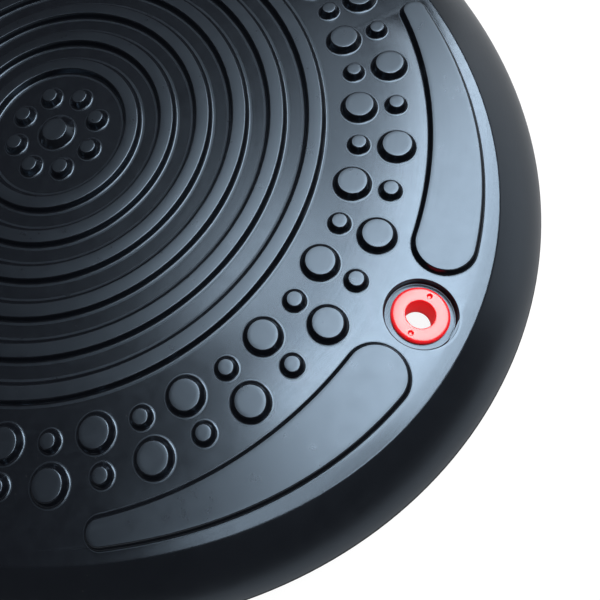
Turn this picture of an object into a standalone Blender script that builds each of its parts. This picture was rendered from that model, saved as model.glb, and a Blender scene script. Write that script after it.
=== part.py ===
"""Air-filled wobble cushion with a massage pattern and three through eyelets.

The cushion stands on Z = 0 with its centre on the Z axis. Its outline has three soft lobes,
and one eyelet sits in each. The first eyelet faces -Y, and the inflation valve faces +Y.
"""

import math

import bmesh
import bpy
from mathutils import Matrix, Vector

MM = 0.001
FIT = 0.3 * MM              # gap between two pieces that touch or slide

# Outline, from the centre
LOBES = 3
RIM_LOBE_REACH = 181.0 * MM     # widest line of the rim at a lobe
RIM_WAIST_REACH = 169.5 * MM    # widest line of the rim between lobes
LOBE_SLOPE = 14.5 * MM          # width of the rim, seen from above, at a lobe
WAIST_SLOPE = 18.2 * MM         # the same between lobes
TOP_LOBE_REACH = RIM_LOBE_REACH - LOBE_SLOPE        # edge of the flat top at a lobe
TOP_WAIST_REACH = RIM_WAIST_REACH - WAIST_SLOPE     # edge of the flat top between lobes

# Heights above the floor, and the skin
FACE_HEIGHT = 38.0 * MM         # flat top, without the pattern
RIM_HEIGHT = 23.5 * MM          # widest line of the rim
WALL = 3.5 * MM
DISH_DEPTH = 3.0 * MM           # how far the middle of the top sinks
RIM_FULLNESS = 1.25             # 1 is a straight bevel, 2 a quarter ellipse
TOP_FILLET = 4.0 * MM           # width of the soft turn from the flat top into the rim

# Underside
CROWN_INSET = 44.5 * MM         # crown's edge behind the widest line between lobes
CROWN_WIDTH = 30.0 * MM         # from the crown's edge to the flat face that the cushion stands on
CROWN_RISE = 1.6 * MM
CROWN_REACH = RIM_WAIST_REACH - CROWN_INSET
FOOT_REACH = CROWN_REACH - CROWN_WIDTH
CORNER_WIDTH = 26.0 * MM        # round corner between the crown and the widest line
CORNER_RISE = 3.5 * MM

# Weld bead between the two skins
BEAD_DEPTH = 1.6 * MM
BEAD_HEIGHT = 2.0 * MM
BEAD_PROUD = 0.3 * MM

# Where the eyelets sit, and the pattern that keeps clear of them and of the waists
EYELET_INSET = 15.0 * MM        # eyelet's axis behind the edge of the flat top
RECESS_RADIUS = 11.3 * MM
ROW_TO_RECESS = 10.4 * MM       # from the outer row's centre line to an eyelet's recess
ROW_TO_WAIST = 21.5 * MM        # from the same line to the edge of the flat top between lobes
ROW_PITCH = 12.8 * MM
ROW_TO_DISH = 9.0 * MM          # from the inner row's centre line to the dish
ROW_TO_PAD = 11.4 * MM          # from the outer row's centre line to the pads
EYELET_REACH = TOP_LOBE_REACH - EYELET_INSET
OUTER_ROW_REACH = min(EYELET_REACH - RECESS_RADIUS - ROW_TO_RECESS, TOP_WAIST_REACH - ROW_TO_WAIST)
INNER_ROW_REACH = OUTER_ROW_REACH - ROW_PITCH
DISH_REACH = INNER_ROW_REACH - ROW_TO_DISH
PAD_INNER_REACH = OUTER_ROW_REACH + ROW_TO_PAD

# Concentric ridges, as many as the dish has room for
FIRST_RIDGE_INNER = 29.0 * MM
RIDGE_WIDTH = 5.0 * MM
RIDGE_PITCH = 14.0 * MM
RIDGE_TO_EDGE = 3.5 * MM        # least distance from the last ridge to the edge of the dish
RIDGES = 1 + int((DISH_REACH - RIDGE_TO_EDGE - RIDGE_WIDTH - FIRST_RIDGE_INNER) / RIDGE_PITCH)
RIDGE_HEIGHT = 2.5 * MM
DRAFT = 0.9 * MM                # how much wider a ridge or pad is at its base, on each side

# Round studs: top radius, base radius
STUD_HEIGHT = 3.0 * MM
LARGE_STUD = (5.0 * MM, 6.1 * MM)
SMALL_STUD = (2.6 * MM, 3.5 * MM)
CENTRE_STUD = (5.0 * MM, 7.4 * MM)
RING_STUD = (3.1 * MM, 4.3 * MM)
STUDS_PER_ROW = 48
RING_STUDS = 8
RING_REACH = 17.0 * MM

# Crescent pads, a mirrored pair at each eyelet
PAD_HEIGHT = 2.5 * MM
PAD_WIDE_MARGIN = 6.2 * MM      # from the pad's wide end to the edge of the top
PAD_TIP_MARGIN = 4.3 * MM       # from the pad's tip to the edge of the top
PAD_WIDE_ANGLE = math.radians(9.1)
PAD_TIP_ANGLE = math.radians(46.2)

# Eyelets
BORE_RADIUS = 4.4 * MM
SLEEVE_RADIUS = 6.5 * MM
FLANGE_RADIUS = 8.9 * MM
FLANGE_SINK = 1.0 * MM          # flange's face below the flat top
EYELET_LENGTH = 13.5 * MM
EDGE_BREAK = 0.5 * MM
RECESS_DEPTH = 3.5 * MM
LEDGE = 3.0 * MM                # rubber under the flange and over the nut
POT_WALL = 3.2 * MM
SEAL_THICKNESS = 1.4 * MM
SEAL_RADIUS = 12.0 * MM
NUT_THICKNESS = 3.0 * MM
NUT_RADIUS = 10.5 * MM
WELL_RADIUS = 14.0 * MM         # inside of the cup around the nut
CUP_WALL = 3.0 * MM
PIN_HOLE_RADIUS = 0.9 * MM      # spanner holes in flange and nut
PIN_HOLE_DEPTH = 1.2 * MM

# Inflation valve
VALVE_HEIGHT = 13.5 * MM
VALVE_INSET = 10.0 * MM         # valve face behind the widest line, in a pocket
BOSS_WALL = 1.7 * MM
BOSS_LENGTH = 9.0 * MM
VALVE_FLANGE_RADIUS = 6.5 * MM
VALVE_FLANGE_THICKNESS = 2.0 * MM
VALVE_TUBE_RADIUS = 4.8 * MM
VALVE_TUBE_LENGTH = 11.5 * MM
VALVE_BORE_RADIUS = 2.5 * MM
PLUG_CAP_RADIUS = 5.0 * MM
PLUG_CAP_THICKNESS = 1.6 * MM
PLUG_KNOB_RADIUS = 2.2 * MM
PLUG_KNOB_LENGTH = 4.0 * MM
PLUG_LENGTH = 9.5 * MM
PLUG_TAPER = 0.5 * MM

# Facets
SKIN_STEPS = 48
RIM_STEPS = 5
LARGE_STEPS = 8
SMALL_STEPS = 6
RING_STEPS = 24
PAD_SIDE_STEPS = 8
PAD_END_STEPS = 6
SMOOTH_ANGLE = math.radians(35)

# Derived heights along an eyelet, top to bottom
FLANGE_TOP = FACE_HEIGHT - FLANGE_SINK
RECESS_FLOOR = FACE_HEIGHT - RECESS_DEPTH
POT_BOTTOM = RECESS_FLOOR - LEDGE
SEAL_TOP = POT_BOTTOM - FIT
SEAL_BOTTOM = SEAL_TOP - SEAL_THICKNESS
CUP_TOP = SEAL_BOTTOM - FIT
WELL_CEILING = CUP_TOP - LEDGE
NUT_TOP = WELL_CEILING - FIT
NUT_BOTTOM = NUT_TOP - NUT_THICKNESS
REBATE_FLOOR = RIM_HEIGHT - BEAD_HEIGHT / 2 - FIT
SLEEVE_HOLE_RADIUS = SLEEVE_RADIUS + FIT
CUP_RADIUS = WELL_RADIUS + CUP_WALL
PIN_HOLE_REACH = (BORE_RADIUS + FLANGE_RADIUS) / 2
NUT_PIN_REACH = (SLEEVE_HOLE_RADIUS + NUT_RADIUS) / 2
VALVE_FACE = RIM_WAIST_REACH - VALVE_INSET
POCKET_RADIUS = VALVE_FLANGE_RADIUS + FIT


def make_material(name, colour, roughness, metallic=0.0):
    """Return a Principled material with one colour."""
    material = bpy.data.materials.new(name)
    material.use_nodes = True
    shader = material.node_tree.nodes["Principled BSDF"]
    shader.inputs["Base Color"].default_value = (*colour, 1.0)
    shader.inputs["Roughness"].default_value = roughness
    shader.inputs["Metallic"].default_value = metallic
    return material


def add_object(name, mesh, material=None):
    """Link a mesh as a named object, shaded smooth with sharp edges kept."""
    mesh.shade_smooth()
    mesh.set_sharp_from_angle(angle=SMOOTH_ANGLE)
    if material:
        mesh.materials.append(material)
    thing = bpy.data.objects.new(name, mesh)
    bpy.context.scene.collection.objects.link(thing)
    return thing


def mesh_from_rings(name, rings, closed=False):
    """Bridge rings of equal point counts into one closed body.

    The rings end in flat caps, or, when closed is set, the last one joins the first.
    """
    shape = bmesh.new()
    loops = [[shape.verts.new(point) for point in ring] for ring in rings]
    pairs = list(zip(loops, loops[1:]))
    if closed:
        pairs.append((loops[-1], loops[0]))
    else:
        shape.faces.new(loops[0])
        shape.faces.new(loops[-1])
    for one, other in pairs:
        for near in range(len(one)):
            far = (near + 1) % len(one)
            shape.faces.new((one[near], one[far], other[far], other[near]))
    bmesh.ops.recalc_face_normals(shape, faces=shape.faces)
    mesh = bpy.data.meshes.new(name)
    shape.to_mesh(mesh)
    shape.free()
    return mesh


def circle(radius, height, steps, centre=(0.0, 0.0)):
    """Points of a level circle."""
    turns = (math.tau * step / steps for step in range(steps))
    return [Vector((centre[0] + radius * math.cos(turn), centre[1] + radius * math.sin(turn), height))
            for turn in turns]


def turned(name, profile, steps, closed=False):
    """Turn (radius, height) pairs about the Z axis."""
    return mesh_from_rings(name, [circle(radius, height, steps) for radius, height in profile], closed)


def join_meshes(name, parts):
    """Copy several meshes, each moved by its own matrix, into one mesh."""
    shape = bmesh.new()
    for mesh, matrix in parts:
        piece = bmesh.new()
        piece.from_mesh(mesh)
        piece.transform(matrix)
        copy = bpy.data.meshes.new("copy")
        piece.to_mesh(copy)
        piece.free()
        shape.from_mesh(copy)
        bpy.data.meshes.remove(copy)
    mesh = bpy.data.meshes.new(name)
    shape.to_mesh(mesh)
    shape.free()
    return mesh


def combine(target, operation, mesh):
    """Give the target a Boolean with a hidden tool made from the mesh."""
    tool = add_object(f"{target.name}_{mesh.name}", mesh)
    tool.hide_render = True
    tool.display_type = "WIRE"
    modifier = target.modifiers.new(mesh.name, "BOOLEAN")
    modifier.operation = operation
    modifier.solver = "EXACT"
    modifier.object = tool


def lobe_turn(lobe):
    """World angle of an eyelet's axis."""
    return math.tau * lobe / LOBES - math.pi / 2


def polar(reach, turn, height=0.0):
    """Point at a distance and world angle from the centre."""
    return Vector((reach * math.cos(turn), reach * math.sin(turn), height))


def outline(lobe_reach, waist_reach, turn):
    """Distance from the centre to the lobed outline at a world angle."""
    middle = (lobe_reach + waist_reach) / 2
    swing = (lobe_reach - waist_reach) / 2
    return middle + swing * math.cos(LOBES * (turn - lobe_turn(0)))


def top_reach(turn):
    return outline(TOP_LOBE_REACH, TOP_WAIST_REACH, turn)


def rim_reach(turn):
    return outline(RIM_LOBE_REACH, RIM_WAIST_REACH, turn)


def skin_ring(reach, height):
    """Ring of a skin. The reach is a length, or a function of the world angle."""
    turns = (math.tau * step / SKIN_STEPS for step in range(SKIN_STEPS))
    return [polar(reach(turn) if callable(reach) else reach, turn, height) for turn in turns]


def face_height(reach):
    """Height of the patterned face at a distance from the centre."""
    share = min(reach / DISH_REACH, 1.0)
    return FACE_HEIGHT - DISH_DEPTH * (1.0 - share ** 2)


def top_skin_rings():
    """Rings of the top skin: out over the ridges and the rim, then back underneath."""
    centre_reach = FIRST_RIDGE_INNER - DRAFT
    rings = []
    for ridge in range(RIDGES):
        inner = FIRST_RIDGE_INNER + ridge * RIDGE_PITCH
        outer = inner + RIDGE_WIDTH
        for reach, rise in ((inner - DRAFT, 0.0), (inner, RIDGE_HEIGHT), (outer, RIDGE_HEIGHT),
                            (outer + DRAFT, 0.0)):
            rings.append(skin_ring(reach, face_height(max(reach, centre_reach)) + rise))
    rings.append(skin_ring(lambda turn: top_reach(turn) - TOP_FILLET, FACE_HEIGHT))
    for step in range(RIM_STEPS):
        rings.append(rim_ring(step / RIM_STEPS))
    lip = RIM_HEIGHT + FIT / 2
    rebate = RIM_HEIGHT + BEAD_HEIGHT / 2 + FIT
    rings.append(skin_ring(rim_reach, rebate))
    rings.append(skin_ring(lambda turn: rim_reach(turn) - BEAD_DEPTH, rebate))
    rings.append(skin_ring(lambda turn: rim_reach(turn) - BEAD_DEPTH, lip))
    rings.append(skin_ring(lambda turn: rim_reach(turn) - BEAD_DEPTH - WALL, lip))
    rings.append(skin_ring(lambda turn: top_reach(turn) - WALL / 2, FACE_HEIGHT - WALL))
    for share in (1.0, 0.75, 0.5):
        rings.append(skin_ring(share * DISH_REACH, face_height(share * DISH_REACH) - WALL))
    rings.append(skin_ring(centre_reach, face_height(centre_reach) - WALL))
    return rings


def rim_ring(share):
    """Ring on the sloping rim, from its turn at the top (0) towards the widest line (1)."""
    angle = math.pi / 2 * (0.12 + 0.88 * share)
    out = math.sin(angle) ** (2 / RIM_FULLNESS)
    down = 1.0 - math.cos(angle) ** (2 / RIM_FULLNESS)
    drop = FACE_HEIGHT - RIM_HEIGHT - BEAD_HEIGHT / 2 - FIT

    def reach(turn):
        return top_reach(turn) + out * (rim_reach(turn) - top_reach(turn))
    return skin_ring(reach, FACE_HEIGHT - down * drop)


def stud(name, size, steps):
    """Tapered round stud that starts half a wall below its own origin."""
    top, base = size
    root = -WALL / 2
    return turned(name, ((base, root), (base, 0.0), (top, STUD_HEIGHT)), steps)


def stud_field():
    """All studs as one mesh of separate bodies."""
    large = stud("large", LARGE_STUD, LARGE_STEPS)
    small = stud("small", SMALL_STUD, SMALL_STEPS)
    parts = []
    for place in range(STUDS_PER_ROW):
        turn = lobe_turn(0) + math.tau * place / STUDS_PER_ROW
        inner, outer = (large, small) if place % 2 == 0 else (small, large)
        for mesh, reach in ((inner, INNER_ROW_REACH), (outer, OUTER_ROW_REACH)):
            parts.append((mesh, Matrix.Translation(polar(reach, turn, face_height(reach)))))
    floor = face_height(FIRST_RIDGE_INNER - DRAFT)
    parts.append((stud("middle", CENTRE_STUD, LARGE_STEPS), Matrix.Translation((0.0, 0.0, floor))))
    ring = stud("ring", RING_STUD, SMALL_STEPS)
    for place in range(RING_STUDS):
        turn = lobe_turn(0) + math.tau * place / RING_STUDS
        parts.append((ring, Matrix.Translation(polar(RING_REACH, turn, floor))))
    return join_meshes("studs", parts)


def pad_ring(side, lobe, grow, height):
    """Outline of a crescent pad. Side is 1 or -1, and grow widens it all round."""
    def margin(angle):
        share = (angle - PAD_WIDE_ANGLE) / (PAD_TIP_ANGLE - PAD_WIDE_ANGLE)
        return PAD_WIDE_MARGIN + share * (PAD_TIP_MARGIN - PAD_WIDE_MARGIN)

    def outer(angle):
        return top_reach(lobe_turn(0) + angle) - margin(angle)

    def rounded_end(angle, heading):
        half = (outer(angle) - PAD_INNER_REACH) / 2
        centre = polar(PAD_INNER_REACH + half, angle)
        ends = []
        for step in range(1, PAD_END_STEPS):
            sweep = math.pi * step / PAD_END_STEPS
            along = angle + math.pi / 2 * heading
            ends.append(centre + (half + grow) * (
                math.sin(sweep) * polar(1.0, along) - heading * math.cos(sweep) * polar(1.0, angle)))
        return ends

    span = [PAD_WIDE_ANGLE + (PAD_TIP_ANGLE - PAD_WIDE_ANGLE) * step / PAD_SIDE_STEPS
            for step in range(PAD_SIDE_STEPS + 1)]
    points = [polar(PAD_INNER_REACH - grow, angle) for angle in span]
    points += rounded_end(PAD_TIP_ANGLE, 1)
    points += [polar(outer(angle) + grow, angle) for angle in reversed(span)]
    points += rounded_end(PAD_WIDE_ANGLE, -1)
    place = Matrix.Rotation(lobe_turn(lobe), 4, "Z")
    return [place @ Vector((point.x, side * point.y, height)) for point in points]


def pad_field():
    """Both pads of every lobe as one mesh of separate bodies."""
    levels = ((DRAFT, -WALL / 2), (DRAFT, 0.0), (0.0, PAD_HEIGHT))
    parts = []
    for lobe in range(LOBES):
        for side in (1, -1):
            rings = [pad_ring(side, lobe, grow, FACE_HEIGHT + rise) for grow, rise in levels]
            parts.append((mesh_from_rings("pad", rings), Matrix.Identity(4)))
    return join_meshes("pads", parts)


def at_eyelets(name, profile):
    """One turned body on each eyelet's axis, as one mesh."""
    mesh = turned(name, profile, RING_STEPS)
    copies = []
    for lobe in range(LOBES):
        turn = lobe_turn(lobe)
        copies.append((mesh, Matrix.Translation(polar(EYELET_REACH, turn)) @ Matrix.Rotation(turn, 4, "Z")))
    return join_meshes(name, copies)


def build_top_skin(rubber):
    """Patterned upper skin, with a pot that takes each eyelet's flange."""
    skin = add_object("top_skin", mesh_from_rings("top_skin", top_skin_rings()), rubber)
    pot_radius = RECESS_RADIUS + POT_WALL
    combine(skin, "UNION", at_eyelets("pots", (
        (pot_radius, POT_BOTTOM), (pot_radius, FACE_HEIGHT - WALL / 2))))
    combine(skin, "UNION", stud_field())
    combine(skin, "UNION", pad_field())
    clear = FACE_HEIGHT + STUD_HEIGHT
    combine(skin, "DIFFERENCE", at_eyelets("recesses", (
        (SLEEVE_HOLE_RADIUS, POT_BOTTOM - LEDGE), (SLEEVE_HOLE_RADIUS, RECESS_FLOOR),
        (RECESS_RADIUS, RECESS_FLOOR), (RECESS_RADIUS, clear))))
    return skin


def corner_rings(inset):
    """Rings of the round corner between the crown and the widest line, set in by a length."""
    floor = CORNER_RISE + inset
    rings = []
    for step in range(RIM_STEPS):
        angle = math.pi / 2 * step / RIM_STEPS
        width = (CORNER_WIDTH - inset) * (1.0 - math.sin(angle)) + inset
        height = REBATE_FLOOR - (REBATE_FLOOR - floor) * math.cos(angle)
        rings.append(skin_ring(lambda turn, back=width: rim_reach(turn) - back, height))
    return rings


def underside_rings():
    """Rings of the cushion's underside, from the foot out to the widest line."""
    foot = [skin_ring(FOOT_REACH, 0.0), skin_ring(CROWN_REACH, CROWN_RISE)]
    return foot + corner_rings(0.0) + [skin_ring(rim_reach, REBATE_FLOOR)]


def bottom_skin_rings():
    """Rings of the bottom skin: from the foot out to the lip, then back inside."""
    lip = RIM_HEIGHT - FIT / 2
    edge = [
        skin_ring(lambda turn: rim_reach(turn) - BEAD_DEPTH, REBATE_FLOOR),
        skin_ring(lambda turn: rim_reach(turn) - BEAD_DEPTH, lip),
        skin_ring(lambda turn: rim_reach(turn) - BEAD_DEPTH - WALL, lip),
    ]
    inside = corner_rings(BEAD_DEPTH + WALL)[::-1]
    inside.append(skin_ring(CROWN_REACH, CROWN_RISE + WALL))
    inside.append(skin_ring(FOOT_REACH, WALL))
    return underside_rings() + edge + inside


def valve_axis():
    """Matrix that turns +Z to +Y and carries the origin to the valve's face."""
    return Matrix.Translation((0.0, VALVE_FACE, VALVE_HEIGHT)) @ Matrix.Rotation(-math.pi / 2, 4, "X")


def build_bottom_skin(rubber):
    """Lower skin, with a hole for each eyelet's cup and a boss for the valve."""
    skin = add_object("bottom_skin", mesh_from_rings("bottom_skin", bottom_skin_rings()), rubber)
    boss_radius = POCKET_RADIUS + BOSS_WALL
    boss = turned("boss", ((boss_radius, -BOSS_LENGTH), (boss_radius, 0.0)), RING_STEPS)
    boss.transform(valve_axis())
    combine(skin, "UNION", boss)
    combine(skin, "DIFFERENCE", at_eyelets("cup_holes", (
        (CUP_RADIUS + FIT, -WALL), (CUP_RADIUS + FIT, RIM_HEIGHT))))
    seat = turned("valve_seat", (
        (VALVE_TUBE_RADIUS + FIT, -VALVE_TUBE_LENGTH - WALL),
        (VALVE_TUBE_RADIUS + FIT, -VALVE_FLANGE_THICKNESS - FIT),
        (POCKET_RADIUS, -VALVE_FLANGE_THICKNESS - FIT),
        (POCKET_RADIUS, VALVE_INSET + WALL)), RING_STEPS)
    seat.transform(valve_axis())
    combine(skin, "DIFFERENCE", seat)
    return skin


def build_rim_seam(rubber):
    """Weld bead in the rebate between the two skins' lips."""
    low = RIM_HEIGHT - BEAD_HEIGHT / 2
    high = RIM_HEIGHT + BEAD_HEIGHT / 2
    back = BEAD_DEPTH - FIT
    profile = ((back, low), (0.0, low), (-BEAD_PROUD, RIM_HEIGHT), (0.0, high), (back, high))
    rings = [skin_ring(lambda turn, inset=inset: rim_reach(turn) - inset, height)
             for inset, height in profile]
    return add_object("rim_seam", mesh_from_rings("rim_seam", rings, closed=True), rubber)


def pin_holes(name, reach, low, high):
    """Two spanner holes, one on each side of an eyelet's axis along the rim."""
    hole = turned("pin_hole", ((PIN_HOLE_RADIUS, low), (PIN_HOLE_RADIUS, high)), SMALL_STEPS)
    return join_meshes(name, [(hole, Matrix.Translation((0.0, side * reach, 0.0))) for side in (1, -1)])


def place_on_eyelet(thing, lobe):
    """Move an object that was turned about Z onto an eyelet's axis."""
    thing.location = polar(EYELET_REACH, lobe_turn(lobe))
    thing.rotation_euler.z = lobe_turn(lobe)


def build_cup(lobe, rubber):
    """Cup in the lower skin that the nut sits in. Its mouth is flush with the underside."""
    cup = add_object(f"eyelet_cup_{lobe + 1}", turned("cup", (
        (WELL_RADIUS, -WALL), (WELL_RADIUS, WELL_CEILING), (SLEEVE_HOLE_RADIUS, WELL_CEILING),
        (SLEEVE_HOLE_RADIUS, CUP_TOP), (CUP_RADIUS, CUP_TOP), (CUP_RADIUS, -WALL)),
        RING_STEPS, closed=True), rubber)
    inside = underside_rings() + [skin_ring(rim_reach, FACE_HEIGHT)]
    combine(cup, "INTERSECT", mesh_from_rings("inside", inside))
    place_on_eyelet(cup, lobe)


def build_eyelet(lobe, red, rubber):
    """Flanged bush from above, seal between the pot and the cup, and spanner nut from below."""
    bottom = FLANGE_TOP - EYELET_LENGTH
    bush = add_object(f"eyelet_bush_{lobe + 1}", turned("bush", (
        (BORE_RADIUS, bottom), (BORE_RADIUS, FLANGE_TOP - EDGE_BREAK),
        (BORE_RADIUS + EDGE_BREAK, FLANGE_TOP), (FLANGE_RADIUS - EDGE_BREAK, FLANGE_TOP),
        (FLANGE_RADIUS, FLANGE_TOP - EDGE_BREAK), (FLANGE_RADIUS, RECESS_FLOOR + FIT),
        (SLEEVE_RADIUS, RECESS_FLOOR + FIT), (SLEEVE_RADIUS, bottom)), RING_STEPS, closed=True), red)
    combine(bush, "DIFFERENCE", pin_holes("pins", PIN_HOLE_REACH, FLANGE_TOP - PIN_HOLE_DEPTH,
                                          FLANGE_TOP + PIN_HOLE_DEPTH))
    seal = add_object(f"eyelet_seal_{lobe + 1}", turned("seal", (
        (SLEEVE_HOLE_RADIUS, SEAL_BOTTOM), (SLEEVE_HOLE_RADIUS, SEAL_TOP),
        (SEAL_RADIUS, SEAL_TOP), (SEAL_RADIUS, SEAL_BOTTOM)), RING_STEPS, closed=True), rubber)
    nut = add_object(f"eyelet_nut_{lobe + 1}", turned("nut", (
        (SLEEVE_HOLE_RADIUS, NUT_BOTTOM), (SLEEVE_HOLE_RADIUS, NUT_TOP), (NUT_RADIUS, NUT_TOP),
        (NUT_RADIUS, NUT_BOTTOM + EDGE_BREAK), (NUT_RADIUS - EDGE_BREAK, NUT_BOTTOM)),
        RING_STEPS, closed=True), red)
    combine(nut, "DIFFERENCE", pin_holes("pins", NUT_PIN_REACH, NUT_BOTTOM - PIN_HOLE_DEPTH,
                                         NUT_BOTTOM + PIN_HOLE_DEPTH))
    for thing in [bush, seal, nut] + [item.object for piece in (bush, nut) for item in piece.modifiers]:
        place_on_eyelet(thing, lobe)


def build_valve(rubber, stopper):
    """Valve body in the boss, and the stopper that pulls out along +Y."""
    body = turned("valve_body", (
        (VALVE_BORE_RADIUS, -VALVE_TUBE_LENGTH), (VALVE_BORE_RADIUS, 0.0), (VALVE_FLANGE_RADIUS, 0.0),
        (VALVE_FLANGE_RADIUS, -VALVE_FLANGE_THICKNESS), (VALVE_TUBE_RADIUS, -VALVE_FLANGE_THICKNESS),
        (VALVE_TUBE_RADIUS, -VALVE_TUBE_LENGTH)), RING_STEPS, closed=True)
    add_object("valve_body", body, rubber).matrix_world = valve_axis()
    stem = VALVE_BORE_RADIUS - FIT
    plug = turned("valve_plug", (
        (stem - PLUG_TAPER, -PLUG_LENGTH), (stem, -PLUG_LENGTH / 2), (stem, FIT), (PLUG_CAP_RADIUS, FIT),
        (PLUG_CAP_RADIUS, PLUG_CAP_THICKNESS), (PLUG_KNOB_RADIUS, PLUG_CAP_THICKNESS),
        (PLUG_KNOB_RADIUS, PLUG_CAP_THICKNESS + PLUG_KNOB_LENGTH)), RING_STEPS)
    add_object("valve_plug", plug, stopper).matrix_world = valve_axis()


def main():
    for thing in list(bpy.data.objects):
        bpy.data.objects.remove(thing, do_unlink=True)
    skin_rubber = make_material("skin_rubber", (0.030, 0.034, 0.042), 0.42)
    seal_rubber = make_material("seal_rubber", (0.018, 0.018, 0.020), 0.60)
    red_plastic = make_material("red_plastic", (0.78, 0.035, 0.045), 0.35)
    build_top_skin(skin_rubber)
    build_bottom_skin(skin_rubber)
    build_rim_seam(seal_rubber)
    for lobe in range(LOBES):
        build_cup(lobe, skin_rubber)
        build_eyelet(lobe, red_plastic, seal_rubber)
    build_valve(seal_rubber, red_plastic)
    bpy.context.view_layer.update()


main()
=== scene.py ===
"""Finished look of the wobble cushion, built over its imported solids.

Every piece is made in metres in the frame of the solids: the cushion stands on Z = 0 and the
first eyelet faces -Y. Sizes that the solids already hold are read from their boxes.
"""

import logging
import math
from dataclasses import dataclass, field
from enum import Enum
from typing import Callable, Sequence, Union

import bmesh
import bpy
from mathutils import Matrix, Quaternion, Vector
from mathutils.geometry import delaunay_2d_cdt


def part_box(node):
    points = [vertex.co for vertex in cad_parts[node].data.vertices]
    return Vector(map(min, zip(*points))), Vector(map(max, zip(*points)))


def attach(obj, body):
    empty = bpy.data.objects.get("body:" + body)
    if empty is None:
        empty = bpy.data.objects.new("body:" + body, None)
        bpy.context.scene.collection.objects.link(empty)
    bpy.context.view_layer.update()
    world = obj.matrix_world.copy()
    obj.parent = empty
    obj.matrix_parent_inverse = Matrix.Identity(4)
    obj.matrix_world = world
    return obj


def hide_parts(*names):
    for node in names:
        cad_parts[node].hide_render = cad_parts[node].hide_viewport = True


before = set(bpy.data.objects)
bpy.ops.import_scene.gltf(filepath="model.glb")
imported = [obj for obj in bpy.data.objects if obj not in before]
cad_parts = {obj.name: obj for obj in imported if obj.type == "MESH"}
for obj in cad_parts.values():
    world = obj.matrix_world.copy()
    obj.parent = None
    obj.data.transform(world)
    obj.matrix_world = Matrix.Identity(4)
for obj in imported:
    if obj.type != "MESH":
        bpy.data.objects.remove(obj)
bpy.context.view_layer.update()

MM = 0.001
SMOOTH_ANGLE = math.radians(32)
SKIRT = 0.012 * MM      # height of a relief's skirt over the face that it stands on
CUP_STEPS = 96          # facets round a cup
LOG = logging.getLogger("wobble_cushion")

Pair = tuple[float, float]
Colour = tuple[float, float, float]
Reach = Union[float, Callable[[float], float]]
Value = Union[float, bpy.types.NodeSocket]


class Body(Enum):
    """Rigid bodies that pieces ride on."""

    CUSHION = "cushion"
    PLUG = "plug"


class Slot(Enum):
    """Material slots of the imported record."""

    SKIN = "skin"
    SEAL = "seal"
    EYELET = "eyelet"


# ---------------------------------------------------------------- points and meshes


def polar(reach: float, turn: float, height: float = 0.0) -> Vector:
    """Return the point at a distance and angle from the Z axis."""
    return Vector((reach * math.cos(turn), reach * math.sin(turn), height))


def ring(reach: Reach, height: float, steps: int, lead: float = 0.0) -> list[Vector]:
    """Return a level ring about the Z axis.

    Args:
        reach: Distance from the axis, or a function of the angle that gives it.
        height: Height of the ring.
        steps: Number of points.
        lead: Angle of the first point.

    Returns:
        The ring's points.
    """
    turns = (lead + math.tau * step / steps for step in range(steps))
    return [polar(reach(turn) if callable(reach) else reach, turn, height) for turn in turns]


def rounded(corners: Sequence[tuple[float, float, float]], steps: int = 5,
            closed: bool = False) -> list[Pair]:
    """Round the corners of a polyline with arcs.

    Args:
        corners: Corner points as (across, up, radius). A radius of 0 keeps the corner sharp.
        steps: Segments in each arc.
        closed: Whether the last corner joins the first.

    Returns:
        The points of the rounded line.
    """
    line: list[Pair] = []
    count = len(corners)
    for place, (across, up, radius) in enumerate(corners):
        corner = Vector((across, up))
        if radius <= 0 or (not closed and place in (0, count - 1)):
            line.append((across, up))
            continue
        back = Vector(corners[place - 1][:2]) - corner
        ahead = Vector(corners[(place + 1) % count][:2]) - corner
        half = back.angle(ahead) / 2
        reach = radius / math.tan(half)
        start, end = corner + back.normalized() * reach, corner + ahead.normalized() * reach
        inward = (back.normalized() + ahead.normalized()).normalized()
        centre = corner + inward * radius / math.sin(half)
        sweep = math.pi - 2 * half
        for step in range(steps + 1):
            share = step / steps
            spoke = (math.sin((1 - share) * sweep) * (start - centre)
                     + math.sin(share * sweep) * (end - centre)) / math.sin(sweep)
            line.append(tuple(centre + spoke))
    return line


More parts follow.
